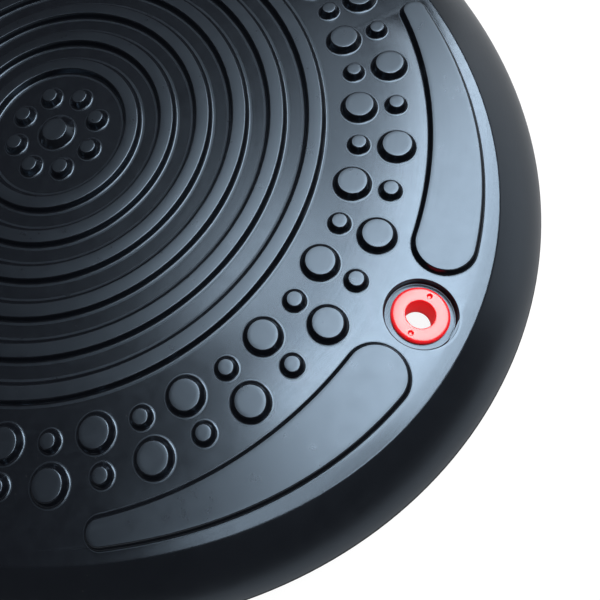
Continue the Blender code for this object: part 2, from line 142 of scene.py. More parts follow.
class MeshMaker:
    """Collects rings and plates into one welded, closed mesh."""

    def __init__(self) -> None:
        """Start with an empty shape."""
        self.shape = bmesh.new()

    def rings(self, rings: Sequence[Sequence[Vector]], closed: bool = False,
              caps: bool = False) -> "MeshMaker":
        """Bridge rings of equal point counts.

        Args:
            rings: The rings in order.
            closed: Whether the last ring joins the first.
            caps: Whether flat faces close the first and the last ring.

        Returns:
            This maker, for the next call.
        """
        loops = [[self.shape.verts.new(point) for point in points] for points in rings]
        pairs = list(zip(loops, loops[1:])) + ([(loops[-1], loops[0])] if closed else [])
        for one, other in pairs:
            for near in range(len(one)):
                far = (near + 1) % len(one)
                self.shape.faces.new((one[near], one[far], other[far], other[near]))
        if caps:
            self.shape.faces.new(loops[0])
            self.shape.faces.new(loops[-1])
        return self

    def turned(self, profile: Sequence[Pair], steps: int, axis: Matrix = Matrix.Identity(4),
               closed: bool = False, caps: bool = False) -> "MeshMaker":
        """Turn a profile of (reach, height) pairs about an axis.

        Args:
            profile: The profile's points.
            steps: Facets round the axis.
            axis: Where the Z axis goes.
            closed: Whether the profile is a loop.
            caps: Whether flat faces close its ends.

        Returns:
            This maker, for the next call.
        """
        loops = [[axis @ point for point in ring(reach, height, steps)] for reach, height in profile]
        return self.rings(loops, closed, caps)

    def plate(self, outer: Sequence[Vector], holes: Sequence[Sequence[Vector]]) -> "MeshMaker":
        """Fill a flat level plate that has holes.

        Args:
            outer: Points of its outer edge, all at one height.
            holes: Point lists of the holes, at the same height.

        Returns:
            This maker, for the next call.
        """
        loops = [outer, *holes]
        points = [point for loop in loops for point in loop]
        edges, start = [], 0
        for loop in loops:
            edges += [(start + place, start + (place + 1) % len(loop)) for place in range(len(loop))]
            start += len(loop)
        found = delaunay_2d_cdt([point.xy for point in points], edges, [], 0, 1e-9)
        height = outer[0].z
        spots = [self.shape.verts.new((*point, height)) for point in found[0]]
        for corners in found[2]:
            middle = sum((found[0][corner] for corner in corners), Vector((0.0, 0.0))) / len(corners)
            if inside(middle, outer) and not any(inside(middle, hole) for hole in holes):
                self.shape.faces.new([spots[corner] for corner in corners])
        return self

    def mesh(self, name: str) -> bpy.types.Mesh:
        """Weld the shape, point its faces out and shade it smooth.

        Args:
            name: The mesh's name.

        Returns:
            The finished mesh. The maker can't be used again.
        """
        bmesh.ops.remove_doubles(self.shape, verts=self.shape.verts, dist=1e-7)
        loose = [vert for vert in self.shape.verts if not vert.link_faces]
        bmesh.ops.delete(self.shape, geom=loose, context="VERTS")
        bmesh.ops.recalc_face_normals(self.shape, faces=self.shape.faces)
        made = bpy.data.meshes.new(name)
        self.shape.to_mesh(made)
        self.shape.free()
        made.shade_smooth()
        made.set_sharp_from_angle(angle=SMOOTH_ANGLE)
        return made


def inside(point: Vector, loop: Sequence[Vector]) -> bool:
    """Tell whether a point lies inside a loop, seen from above.

    Args:
        point: The point.
        loop: The loop's points in order.

    Returns:
        True for a point inside.
    """
    odd = False
    for one, other in zip(loop, [*loop[1:], loop[0]]):
        if (one.y > point.y) != (other.y > point.y):
            cross = one.x + (point.y - one.y) / (other.y - one.y) * (other.x - one.x)
            odd = odd != (point.x < cross)
    return odd


def placed(name: str, data: bpy.types.ID) -> bpy.types.Object:
    """Link data to the scene as an object.

    Args:
        name: The object's name.
        data: A mesh, curve, lamp or camera.

    Returns:
        The object.
    """
    thing = bpy.data.objects.new(name, data)
    bpy.context.scene.collection.objects.link(thing)
    return thing


def evaluated(thing: bpy.types.Object) -> bpy.types.Mesh:
    """Turn an object with its modifiers into a plain mesh, and remove the object.

    Args:
        thing: The object.

    Returns:
        The mesh that its modifiers make.
    """
    bpy.context.view_layer.update()
    graph = bpy.context.evaluated_depsgraph_get()
    made = bpy.data.meshes.new_from_object(thing.evaluated_get(graph), depsgraph=graph)
    bpy.data.objects.remove(thing, do_unlink=True)
    return made


def cut(mesh: bpy.types.Mesh, cutters: Sequence[bpy.types.Mesh]) -> bpy.types.Mesh:
    """Cut closed meshes out of another.

    Args:
        mesh: The mesh that is cut.
        cutters: The closed meshes taken away, one after the other.

    Returns:
        What is left of the mesh.
    """
    blank = placed("blank", mesh)
    tools = [placed("cutter", cutter) for cutter in cutters]
    for tool in tools:
        change = blank.modifiers.new(tool.name, "BOOLEAN")
        change.operation = "DIFFERENCE"
        change.solver = "EXACT"
        change.object = tool
    made = evaluated(blank)
    for tool in tools:
        bpy.data.objects.remove(tool, do_unlink=True)
    made.shade_smooth()
    made.set_sharp_from_angle(angle=SMOOTH_ANGLE)
    return made


def add_piece(name: str, mesh: bpy.types.Mesh, material: bpy.types.Material,
              body: Body = Body.CUSHION, stands_for: Sequence[str] = ()) -> bpy.types.Object:
    """Put a finished mesh into the scene as a piece of the object.

    Args:
        name: The piece's name.
        mesh: Its mesh, already in place.
        material: Its finish.
        body: The body that it rides on.
        stands_for: Solids that it replaces.

    Returns:
        The piece's object.
    """
    mesh.name = name
    mesh.materials.clear()
    mesh.materials.append(material)
    piece = placed(name, mesh)
    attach(piece, body.value)
    if stands_for:
        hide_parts(*stands_for)
    LOG.info("%s: %d faces on %s", name, len(mesh.polygons), body.value)
    return piece


# ---------------------------------------------------------------- node helpers


class Nodes:
    """Short way to add and link nodes in one tree."""

    def __init__(self, tree: bpy.types.NodeTree) -> None:
        """Keep the tree."""
        self.tree = tree

    def add(self, kind: str, inputs: dict | None = None, **settings: object) -> bpy.types.Node:
        """Add a node.

        Args:
            kind: Blender's name for the node type.
            inputs: Values or sockets by input name or number.
            **settings: Attributes of the node.

        Returns:
            The new node.
        """
        node = self.tree.nodes.new(kind)
        for key, value in settings.items():
            setattr(node, key, value)
        for key, value in (inputs or {}).items():
            if isinstance(value, bpy.types.NodeSocket):
                self.tree.links.new(value, node.inputs[key])
            else:
                node.inputs[key].default_value = value
        return node

    def math(self, operation: str, *values: Value) -> bpy.types.NodeSocket:
        """Add a Math node and return its result."""
        inputs = dict(enumerate(values))
        return self.add("ShaderNodeMath", inputs, operation=operation).outputs[0]

    def vector(self, x: Value, y: Value, z: Value) -> bpy.types.NodeSocket:
        """Combine three values into a vector."""
        return self.add("ShaderNodeCombineXYZ", {0: x, 1: y, 2: z}).outputs[0]


class Group(Nodes):
    """A node group with named sockets."""

    def __init__(self, name: str, kind: str, inputs: dict[str, tuple],
                 outputs: dict[str, str]) -> None:
        """Make the group.

        Args:
            name: The group's name.
            kind: "GeometryNodeTree" or "ShaderNodeTree".
            inputs: Socket kind and default by name. A default of None is left alone.
            outputs: Socket kind by name.
        """
        super().__init__(bpy.data.node_groups.new(name, kind))
        face = self.tree.interface
        for label, (socket, default) in inputs.items():
            item = face.new_socket(label, in_out="INPUT", socket_type=f"NodeSocket{socket}")
            if default is not None:
                item.default_value = default
        for label, socket in outputs.items():
            face.new_socket(label, in_out="OUTPUT", socket_type=f"NodeSocket{socket}")
        self.entry = self.tree.nodes.new("NodeGroupInput")
        self.exit = self.tree.nodes.new("NodeGroupOutput")

    def __getitem__(self, label: str) -> bpy.types.NodeSocket:
        """Return a named input, to link from."""
        return self.entry.outputs[label]

    def give(self, label: str, socket: bpy.types.NodeSocket) -> None:
        """Link a socket to a named output."""
        self.tree.links.new(socket, self.exit.inputs[label])

    def finish_mesh(self, shapes: bpy.types.NodeSocket) -> None:
        """End a geometry tree: realize the instances, set the material and give the result.

        Args:
            shapes: What the tree has made.
        """
        solid = self.add("GeometryNodeRealizeInstances", {0: shapes})
        coated = self.add("GeometryNodeSetMaterial",
                          {0: solid.outputs[0], "Material": self["Material"]})
        self.give("Geometry", coated.outputs[0])

    def run(self, **values: object) -> bpy.types.Mesh:
        """Run a geometry tree with values for its named inputs.

        Args:
            **values: Input values, by input name with underscores for spaces.

        Returns:
            The tree's result as a plain mesh.
        """
        thing = placed("made", bpy.data.meshes.new("made"))
        change = thing.modifiers.new("tree", "NODES")
        change.node_group = self.tree
        for item in self.tree.interface.items_tree:
            key = item.name.replace(" ", "_")
            if item.in_out == "INPUT" and key in values:
                change[item.identifier] = values[key]
        return evaluated(thing)


# ---------------------------------------------------------------- the cushion's shared form


@dataclass(frozen=True)
class Outline:
    """Lobed outline: a circle that swells at each eyelet."""

    lobe_reach: float
    waist_reach: float
    lobes: int = 3
    first: float = -math.pi / 2

    def reach(self, turn: float) -> float:
        """Find the outline's distance from the centre.

        Args:
            turn: Angle from the X axis.

        Returns:
            The distance.
        """
        middle = (self.lobe_reach + self.waist_reach) / 2
        swing = (self.lobe_reach - self.waist_reach) / 2
        return middle + swing * math.cos(self.lobes * (turn - self.first))

    def moved(self, out: float) -> Callable[[float], float]:
        """Return the outline moved out by a length."""
        return lambda turn: self.reach(turn) + out

    def between(self, other: "Outline", share: float) -> Callable[[float], float]:
        """Return the outline that lies a share of the way to another."""
        return lambda turn: self.reach(turn) + share * (other.reach(turn) - self.reach(turn))


@dataclass(frozen=True)
class Form:
    """Sizes that the cushion's pieces share."""

    top: Outline
    rim: Outline
    face: float
    rim_height: float
    eyelet_reach: float
    flange: float
    bore: float = 4.4 * MM
    sleeve_hole: float = 6.8 * MM
    dish_depth: float = 3.0 * MM
    dish_reach: float = 112.0 * MM
    recess_depth: float = 3.5 * MM
    wall: float = 3.5 * MM
    bead_depth: float = 1.6 * MM
    bead_height: float = 2.0 * MM
    fit: float = 0.3 * MM
    lobes: int = 3

    @classmethod
    def from_solids(cls) -> "Form":
        """Read the shared sizes from the boxes of the solids.

        Returns:
            The shared form.
        """
        proud, stud_height = 0.3 * MM, 3.0 * MM
        slope_lobe, slope_waist = 14.5 * MM, 18.2 * MM
        low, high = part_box("rim_seam")
        rim = Outline(-low.y - proud, high.y - proud)
        top = Outline(rim.lobe_reach - slope_lobe, rim.waist_reach - slope_waist)
        bush_low, bush_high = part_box("eyelet_bush_1")
        return cls(top=top, rim=rim, face=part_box("top_skin")[1].z - stud_height,
                   rim_height=(low.z + high.z) / 2, eyelet_reach=-(bush_low.y + bush_high.y) / 2,
                   flange=(bush_high.x - bush_low.x) / 2)

    def face_height(self, reach: float) -> float:
        """Return the height of the patterned face at a distance from the centre."""
        share = min(reach / self.dish_reach, 1.0)
        return self.face - self.dish_depth * (1.0 - share ** 2) ** 1.5

    def lobe_turn(self, lobe: int) -> float:
        """Return the angle of an eyelet from the X axis."""
        return math.tau * lobe / self.lobes - math.pi / 2

    def eyelet_axis(self, lobe: int) -> Matrix:
        """Return the matrix that carries the Z axis to an eyelet, with X pointing out."""
        turn = self.lobe_turn(lobe)
        return Matrix.Translation(polar(self.eyelet_reach, turn)) @ Matrix.Rotation(turn, 4, "Z")

    def ring_at(self, lobe: int, reach: float, height: float, steps: int) -> list[Vector]:
        """Return a level ring about an eyelet's axis."""
        return [self.eyelet_axis(lobe) @ point for point in ring(reach, height, steps)]

    def edge_height(self, side: int) -> float:
        """Return the height at which the upper skin (side 1) or the lower (-1) meets the bead."""
        return self.rim_height + side * (self.bead_height / 2 + self.fit)

    def weld_edge(self, side: int, steps: int) -> list[list[Vector]]:
        """Make the rings of a skin's edge behind the bead, from the outside in.

        Args:
            side: 1 for the upper skin, -1 for the lower.
            steps: Points in a ring.

        Returns:
            The rings.
        """
        lip = self.rim_height + side * self.fit / 2
        behind = self.rim.moved(-self.bead_depth)
        return [ring(behind, self.edge_height(side), steps), ring(behind, lip, steps),
                ring(self.rim.moved(-self.bead_depth - self.wall), lip, steps)]


def face_height_nodes(group: Group, reach: bpy.types.NodeSocket) -> bpy.types.NodeSocket:
    """Add the nodes that work out the patterned face's height.

    Args:
        group: A tree with the inputs Face, Dish Depth and Dish Reach.
        reach: Distance from the centre.

    Returns:
        The height.
    """
    share = group.math("MINIMUM", group.math("DIVIDE", reach, group["Dish Reach"]), 1.0)
    rest = group.math("SUBTRACT", 1.0, group.math("MULTIPLY", share, share))
    bowl = group.math("POWER", rest, 1.5)
    return group.math("SUBTRACT", group["Face"], group.math("MULTIPLY", group["Dish Depth"], bowl))


def lay_on_face(group: Group, shapes: bpy.types.NodeSocket,
                adjust: Callable | None = None) -> bpy.types.NodeSocket:
    """Add the nodes that raise level shapes onto the dished face, point by point.

    Args:
        group: A tree with the inputs Face, Dish Depth and Dish Reach.
        shapes: The realized shapes, made about height 0.
        adjust: Adds nodes that change the reach at which a point's lift is read.

    Returns:
        The raised shapes.
    """
    place = group.add("GeometryNodeInputPosition").outputs[0]
    flat = group.add("ShaderNodeVectorMath", {0: place, 1: (1.0, 1.0, 0.0)}, operation="MULTIPLY")
    length = group.add("ShaderNodeVectorMath", {0: flat.outputs[0]}, operation="LENGTH")
    reach = length.outputs["Value"]
    read = adjust(group, reach) if adjust else reach
    lift = group.vector(0.0, 0.0, face_height_nodes(group, read))
    return group.add("GeometryNodeSetPosition", {0: shapes, "Offset": lift}).outputs[0]


DISH_INPUTS = {"Face": ("Float", 0.038), "Dish Depth": ("Float", 0.003),
               "Dish Reach": ("Float", 0.112), "Material": ("Material", None)}


# ---------------------------------------------------------------- finishes


def tone_group() -> Group:
    """Make the shader group for broad, soft patches of tone on a moulded surface.

    Returns:
        The group.
    """
    group = Group("moulding_tone", "ShaderNodeTree",
                  {"Vector": ("Vector", None), "Patch Size": ("Float", 0.03),
                   "Seed": ("Float", 0.0)},
                  {"Tone": "Float", "Fine Tone": "Float"})
    scale = group.math("DIVIDE", 1.0, group["Patch Size"])
    place = {"Vector": group["Vector"], "W": group["Seed"]}
    wide = group.add("ShaderNodeTexNoise", place | {"Scale": scale, "Detail": 3.0, "Roughness": 0.55},
                     noise_dimensions="4D")
    fine = group.add("ShaderNodeTexNoise", place | {"Scale": group.math("MULTIPLY", scale, 7.0),
                                                    "Detail": 4.0, "Roughness": 0.6},
                     noise_dimensions="4D")
    group.give("Tone", wide.outputs[0])
    group.give("Fine Tone", fine.outputs[0])
    return group


def grain_group() -> Group:
    """Make the shader group for the fine grain that a mould leaves.

    Returns:
        The group.
    """
    group = Group("mould_grain", "ShaderNodeTree",
                  {"Vector": ("Vector", None), "Grain Size": ("Float", 0.0006)},
                  {"Height": "Float"})
    scale = group.math("DIVIDE", 1.0, group["Grain Size"])
    grain = group.add("ShaderNodeTexNoise", {"Vector": group["Vector"], "Scale": scale,
                                             "Detail": 2.0})
    pits = group.add("ShaderNodeTexVoronoi", {"Vector": group["Vector"],
                                              "Scale": group.math("MULTIPLY", scale, 0.45)})
    sunk = group.math("MULTIPLY", pits.outputs["Distance"], 0.35)
    group.give("Height", group.math("ADD", grain.outputs[0], sunk))
    return group


def streak_group() -> Group:
    """Make the shader group for long faint streaks that run round the centre.

    Returns:
        The group.
    """
    group = Group("flow_streaks", "ShaderNodeTree",
                  {"Vector": ("Vector", None), "Streak Width": ("Float", 0.0012),
                   "Streak Length": ("Float", 0.03)},
                  {"Height": "Float", "Mask": "Float"})
    split = group.add("ShaderNodeSeparateXYZ", {0: group["Vector"]})
    reach = group.math("SQRT", group.math("ADD", group.math("POWER", split.outputs[0], 2.0),
                                          group.math("POWER", split.outputs[1], 2.0)))
    turn = group.math("ARCTAN2", split.outputs[1], split.outputs[0])
    pads_reach = 0.14       # the angle counts as the length of an arc at the pads
    along = group.math("DIVIDE", group.math("MULTIPLY", turn, pads_reach), group["Streak Length"])
    across = group.math("DIVIDE", reach, group["Streak Width"])
    place = group.vector(along, across, group.math("DIVIDE", split.outputs[2], group["Streak Width"]))
    lines = group.add("ShaderNodeTexNoise", {"Vector": place, "Scale": 1.0, "Detail": 3.0,
                                             "Roughness": 0.65})
    group.give("Height", lines.outputs[0])
    mask = group.add("ShaderNodeMapRange", {"Value": lines.outputs[0], "From Min": 0.58,
                                            "From Max": 0.75})
    group.give("Mask", mask.outputs[0])
    return group


def dust_group() -> Group:
    """Make the shader group for sparse pale specks of dust.

    Returns:
        The group.
    """
    group = Group("dust_specks", "ShaderNodeTree",
                  {"Vector": ("Vector", None), "Spacing": ("Float", 0.004),
                   "Amount": ("Float", 0.5)},
                  {"Mask": "Float"})
    scale = group.math("DIVIDE", 1.0, group["Spacing"])
    cells = group.add("ShaderNodeTexVoronoi", {"Vector": group["Vector"], "Scale": scale})
    near = group.add("ShaderNodeMapRange", {"Value": cells.outputs["Distance"], "From Min": 0.035,
                                            "From Max": 0.07, "To Min": 1.0, "To Max": 0.0})
    drift = group.add("ShaderNodeTexNoise", {"Vector": group["Vector"], "Scale": 40.0,
                                             "Detail": 2.0})
    kept = group.add("ShaderNodeMapRange", {"Value": drift.outputs[0], "From Min": 0.55,
                                            "From Max": 0.65})
    both = group.math("MULTIPLY", near.outputs[0], kept.outputs[0])
    group.give("Mask", group.math("MULTIPLY", both, group["Amount"]))
    return group


class Shop:
    """Holds the shared shader groups, each made once."""

    def __init__(self) -> None:
        """Make the groups."""
        self.tone = tone_group()
        self.grain = grain_group()
        self.streaks = streak_group()
        self.dust = dust_group()


DUST_COLOUR = (0.32, 0.33, 0.34, 1.0)
LEVEL_SPAN = (0.95, 0.995)      # upward part of a face's normal, from partly to wholly level


@dataclass(frozen=True)
class MouldedFinish:
    """Finish of a moulded rubber or plastic surface."""

    name: str
    dark: Colour
    light: Colour
    smooth: float
    rough: float
    level_rough: float = 0.0
    patch_size: float = 30.0 * MM
    grain_size: float = 0.6 * MM
    grain_depth: float = 0.004 * MM
    streak_depth: float = 0.0
    streak_rough: float = 0.03
    dust: float = 0.0
    specular: float = 0.5
    specular_tint: Colour = (1.0, 1.0, 1.0)
    coat: float = 0.0
    coat_rough: float = 0.26
    coat_ior: float = 1.5
    # painted glow: emission strength that makes the surface give off light of its own
    painted_glow: float = 0.0
    bleed: float = 0.0
    bleed_reach: float = 5.0 * MM
    seed: float = 0.0

    def effect(self, nodes: Nodes, source: Group, **values: float) -> bpy.types.Node:
        """Place a shared shader group, fed with the piece's own coordinates.

        Args:
            nodes: The material's nodes.
            source: The shader group.
            **values: Values of its inputs, by input name with underscores for spaces.

        Returns:
            The group's node.
        """
        inputs = {name.replace("_", " "): value for name, value in values.items()}
        place = nodes.add("ShaderNodeTexCoord").outputs["Object"]
        return nodes.add("ShaderNodeGroup", {"Vector": place} | inputs, node_tree=source.tree)

    def build(self, shop: Shop) -> bpy.types.Material:
        """Make the material.

        Args:
            shop: The shared shader groups.

        Returns:
            The material.
        """
        material = bpy.data.materials.new(self.name)
        material.use_nodes = True
        nodes, links = Nodes(material.node_tree), material.node_tree.links
        sockets = material.node_tree.nodes["Principled BSDF"].inputs
        tone = self.effect(nodes, shop.tone, Patch_Size=self.patch_size, Seed=self.seed)
        grain = self.effect(nodes, shop.grain, Grain_Size=self.grain_size)
        streaks = self.effect(nodes, shop.streaks)
        dust = self.effect(nodes, shop.dust, Amount=self.dust)
        body = nodes.add("ShaderNodeMix", {0: tone.outputs["Tone"], 6: (*self.dark, 1.0),
                                           7: (*self.light, 1.0)}, data_type="RGBA")
        dusty = nodes.add("ShaderNodeMix", {0: dust.outputs["Mask"], 6: body.outputs[2],
                                            7: DUST_COLOUR}, data_type="RGBA")
        links.new(dusty.outputs[2], sockets["Base Color"])
        sheen = nodes.add("ShaderNodeMapRange", {
            "Value": tone.outputs["Fine Tone"], "From Min": 0.3, "From Max": 0.7,
            "To Min": self.smooth, "To Max": self.rough})
        facing = nodes.add("ShaderNodeSeparateXYZ",
                           {0: nodes.add("ShaderNodeTexCoord").outputs["Normal"]})
        level = nodes.add("ShaderNodeMapRange", {
            "Value": facing.outputs[2], "From Min": LEVEL_SPAN[0], "From Max": LEVEL_SPAN[1]})
        change = nodes.math("MULTIPLY", level.outputs[0], self.level_rough)
        streaked = nodes.math("MULTIPLY", streaks.outputs["Mask"], self.streak_rough)
        worn = nodes.math("ADD", sheen.outputs[0], nodes.math("ADD", change, streaked))
        links.new(worn, sockets["Roughness"])
        height = nodes.math("ADD", nodes.math("MULTIPLY", grain.outputs[0], self.grain_depth),
                            nodes.math("MULTIPLY", streaks.outputs["Height"], self.streak_depth))
        bump = nodes.add("ShaderNodeBump", {"Strength": 1.0, "Distance": 1.0, "Height": height})
        links.new(bump.outputs[0], sockets["Normal"])
        sockets["Specular IOR Level"].default_value = self.specular
        sockets["Specular Tint"].default_value = (*self.specular_tint, 1.0)
        if self.coat:
            links.new(nodes.math("MULTIPLY", level.outputs[0], self.coat), sockets["Coat Weight"])
            sockets["Coat Roughness"].default_value = self.coat_rough
            sockets["Coat IOR"].default_value = self.coat_ior
        # Painted glow: the surface gives off a faint light of its own, in its light tone, so that
        # shaded parts such as the bore read brighter.
        if self.painted_glow:
            sockets["Emission Color"].default_value = (*self.light, 1.0)
            sockets["Emission Strength"].default_value = self.painted_glow
        if self.bleed:
            sockets["Subsurface Weight"].default_value = self.bleed
            sockets["Subsurface Radius"].default_value = (1.0, 0.15, 0.12)
            sockets["Subsurface Scale"].default_value = self.bleed_reach
        return material


BLUE_SHEEN = (0.60, 0.79, 1.0)
SKIN = MouldedFinish(
    "skin_rubber", dark=(0.0028, 0.0032, 0.0046), light=(0.0050, 0.0056, 0.0078), smooth=0.28,
    rough=0.32, level_rough=-0.09, streak_depth=0.010 * MM, dust=0.06, specular=0.78,
    specular_tint=BLUE_SHEEN)
RELIEF = MouldedFinish(
    "relief_rubber", dark=(0.0028, 0.0032, 0.0046), light=(0.0050, 0.0056, 0.0078), smooth=0.19,
    rough=0.23, level_rough=0.08, streak_depth=0.012 * MM, dust=0.02, specular=0.78,
    specular_tint=BLUE_SHEEN, seed=2.0)
UNDERSIDE = MouldedFinish(
    "underside_rubber", dark=(0.0060, 0.0068, 0.0085), light=(0.0110, 0.0120, 0.0150), smooth=0.40,
    rough=0.50, streak_depth=0.006 * MM, dust=0.25, specular=0.60,
    specular_tint=(0.75, 0.88, 1.0), seed=3.0)
BEAD = MouldedFinish(
    "bead_rubber", dark=(0.0035, 0.0038, 0.0050), light=(0.0065, 0.0070, 0.0085), smooth=0.36,
    rough=0.44, patch_size=12.0 * MM, specular_tint=(0.8, 0.9, 1.0), seed=5.0)
SEAL = MouldedFinish(
    "seal_rubber", dark=(0.010, 0.010, 0.011), light=(0.017, 0.017, 0.018), smooth=0.50, rough=0.62,
    patch_size=8.0 * MM, grain_depth=0.008 * MM, dust=0.2, seed=8.0)
# The red plastic carries a painted glow (emission) that brightens its shaded bore and flange sides.
RED = MouldedFinish(
    "eyelet_red", dark=(0.72, 0.010, 0.018), light=(0.84, 0.020, 0.028), smooth=0.40, rough=0.48,
    patch_size=9.0 * MM, grain_size=0.9 * MM, grain_depth=0.005 * MM, specular=0.08, coat=1.0,
    coat_ior=1.6, painted_glow=0.2, bleed=0.8, seed=11.0)


# ---------------------------------------------------------------- top skin


@dataclass
class TopSkin:
    """Upper skin: dished face, soft rim and eyelet pots."""

    form: Form
    steps: int = 192
    face_ring_count: int = 22
    rim_rings: int = 30
    brim_width: float = 4.4 * MM
    brim_fall: float = math.radians(3.2)
    brim_start: float = 0.2
    rim_slope: float = math.radians(31)
    rim_turn: float = 1.4 * MM
    bevel_share: float = 0.45
    shoulder: Pair = (0.82, 0.62)
    pot_steps: int = 96
    recess_radius: float = 11.0 * MM
    recess_lip: float = 0.4 * MM
    floor_fall: float = 0.22 * MM
    ledge: float = 3.0 * MM
    pot_wall: float = 3.2 * MM
    patch_margin: float = 1.1 * MM

    def face_rings(self) -> list[list[Vector]]:
        """Make the rings of the dished face.

        Returns:
            The rings, from the centre out.
        """
        step = self.form.dish_reach / self.face_ring_count
        reaches = [step * (place + 1) for place in range(self.face_ring_count)]
        return [ring(reach, self.form.face_height(reach), self.steps) for reach in reaches]

    def rim_lines(self) -> list[list[Vector]]:
        """Make the rings of the rim.

        Returns:
            The rings, from the edge of the flat top down to the widest line.
        """
        form = self.form
        return [ring(form.top.between(form.rim, out), form.face - down, self.steps)
                for out, down in self.rim_profile(form.face - form.edge_height(1))]

    def rim_profile(self, drop: float) -> list[Pair]:
        """Make the rim's line, from the brim to the widest line.

        It falls gently over the brim, turns into a bevel at the top's edge, and steepens to
        the widest line.

        Args:
            drop: Depth of the widest line below the top.

        Returns:
            Points as (share of the rim's width, depth below the top).
        """
        width = self.form.rim.lobe_reach - self.form.top.lobe_reach
        fall = self.brim_width * math.tan(self.brim_fall)
        bevel = self.bevel_share * width
        ends = (Vector((0.0, fall)), Vector((bevel, fall + bevel * math.tan(self.rim_slope))),
                Vector((self.shoulder[0] * width, self.shoulder[1] * drop)), Vector((width, drop)))
        line = []
        for place in range(self.rim_rings + 1):
            share = place / self.rim_rings
            rest = 1.0 - share
            line.append(rest ** 3 * ends[0] + 3 * rest ** 2 * share * ends[1]
                        + 3 * rest * share ** 2 * ends[2] + share ** 3 * ends[3])
        brim = ((self.brim_start - 1.0) * self.brim_width, self.brim_start * fall, 0)
        turned = rounded([brim, (0.0, fall, self.rim_turn), (line[1].x, line[1].y, 0)], steps=6)
        return [(out / width, down) for out, down in [*turned, *line[2:]]]

    def pot_profile(self) -> list[Pair]:
        """Make the profile of the pot that holds an eyelet.

        Returns:
            Points about the eyelet's axis, from the patch of face round the pot to its outside.
        """
        form, wall = self.form, self.recess_radius
        face, floor = form.face, form.face - form.recess_depth
        bottom = floor - self.ledge
        inner = rounded([
            (wall + self.patch_margin, face, 0), (wall, face, self.recess_lip),
            (wall, floor - self.floor_fall, 0.5 * MM), (form.flange, floor, 0),
            (form.sleeve_hole, floor, 0.4 * MM), (form.sleeve_hole, bottom, 0)], steps=7)
        outside = wall + self.pot_wall
        return inner + [(outside, bottom), (outside, face - form.wall)]

    def circles(self, reach: float, height: float) -> list[list[Vector]]:
        """Return one level ring about each eyelet."""
        return [self.form.ring_at(lobe, reach, height, self.pot_steps)
                for lobe in range(self.form.lobes)]

    def build(self) -> bpy.types.Mesh:
        """Make the skin.

        Returns:
            The skin as one closed mesh.
        """
        form, maker = self.form, MeshMaker()
        face_rings = self.face_rings()
        maker.rings(face_rings)
        maker.plate(face_rings[0], [])
        flat_edge = ring(form.top.moved(-self.brim_width), form.face, self.steps)
        patches = self.circles(self.recess_radius + self.patch_margin, form.face)
        maker.plate(flat_edge, [face_rings[-1], *patches])
        under = form.face - form.wall
        inner_edge = ring(form.top.moved(-form.wall / 2), under, self.steps)
        maker.rings([flat_edge, *self.rim_lines(), *form.weld_edge(1, self.steps), inner_edge])
        inner_dish = [ring(reach, form.face_height(reach) - form.wall, self.steps)
                      for reach in (form.dish_reach * share for share in (1.0, 0.8, 0.6, 0.4, 0.2))]
        pots = self.circles(self.recess_radius + self.pot_wall, under)
        maker.plate(inner_edge, [inner_dish[0], *pots])
        maker.rings(inner_dish)
        maker.plate(inner_dish[-1], [])
        for lobe in range(form.lobes):
            maker.turned(self.pot_profile(), self.pot_steps, form.eyelet_axis(lobe))
        return maker.mesh("top_skin_surface")


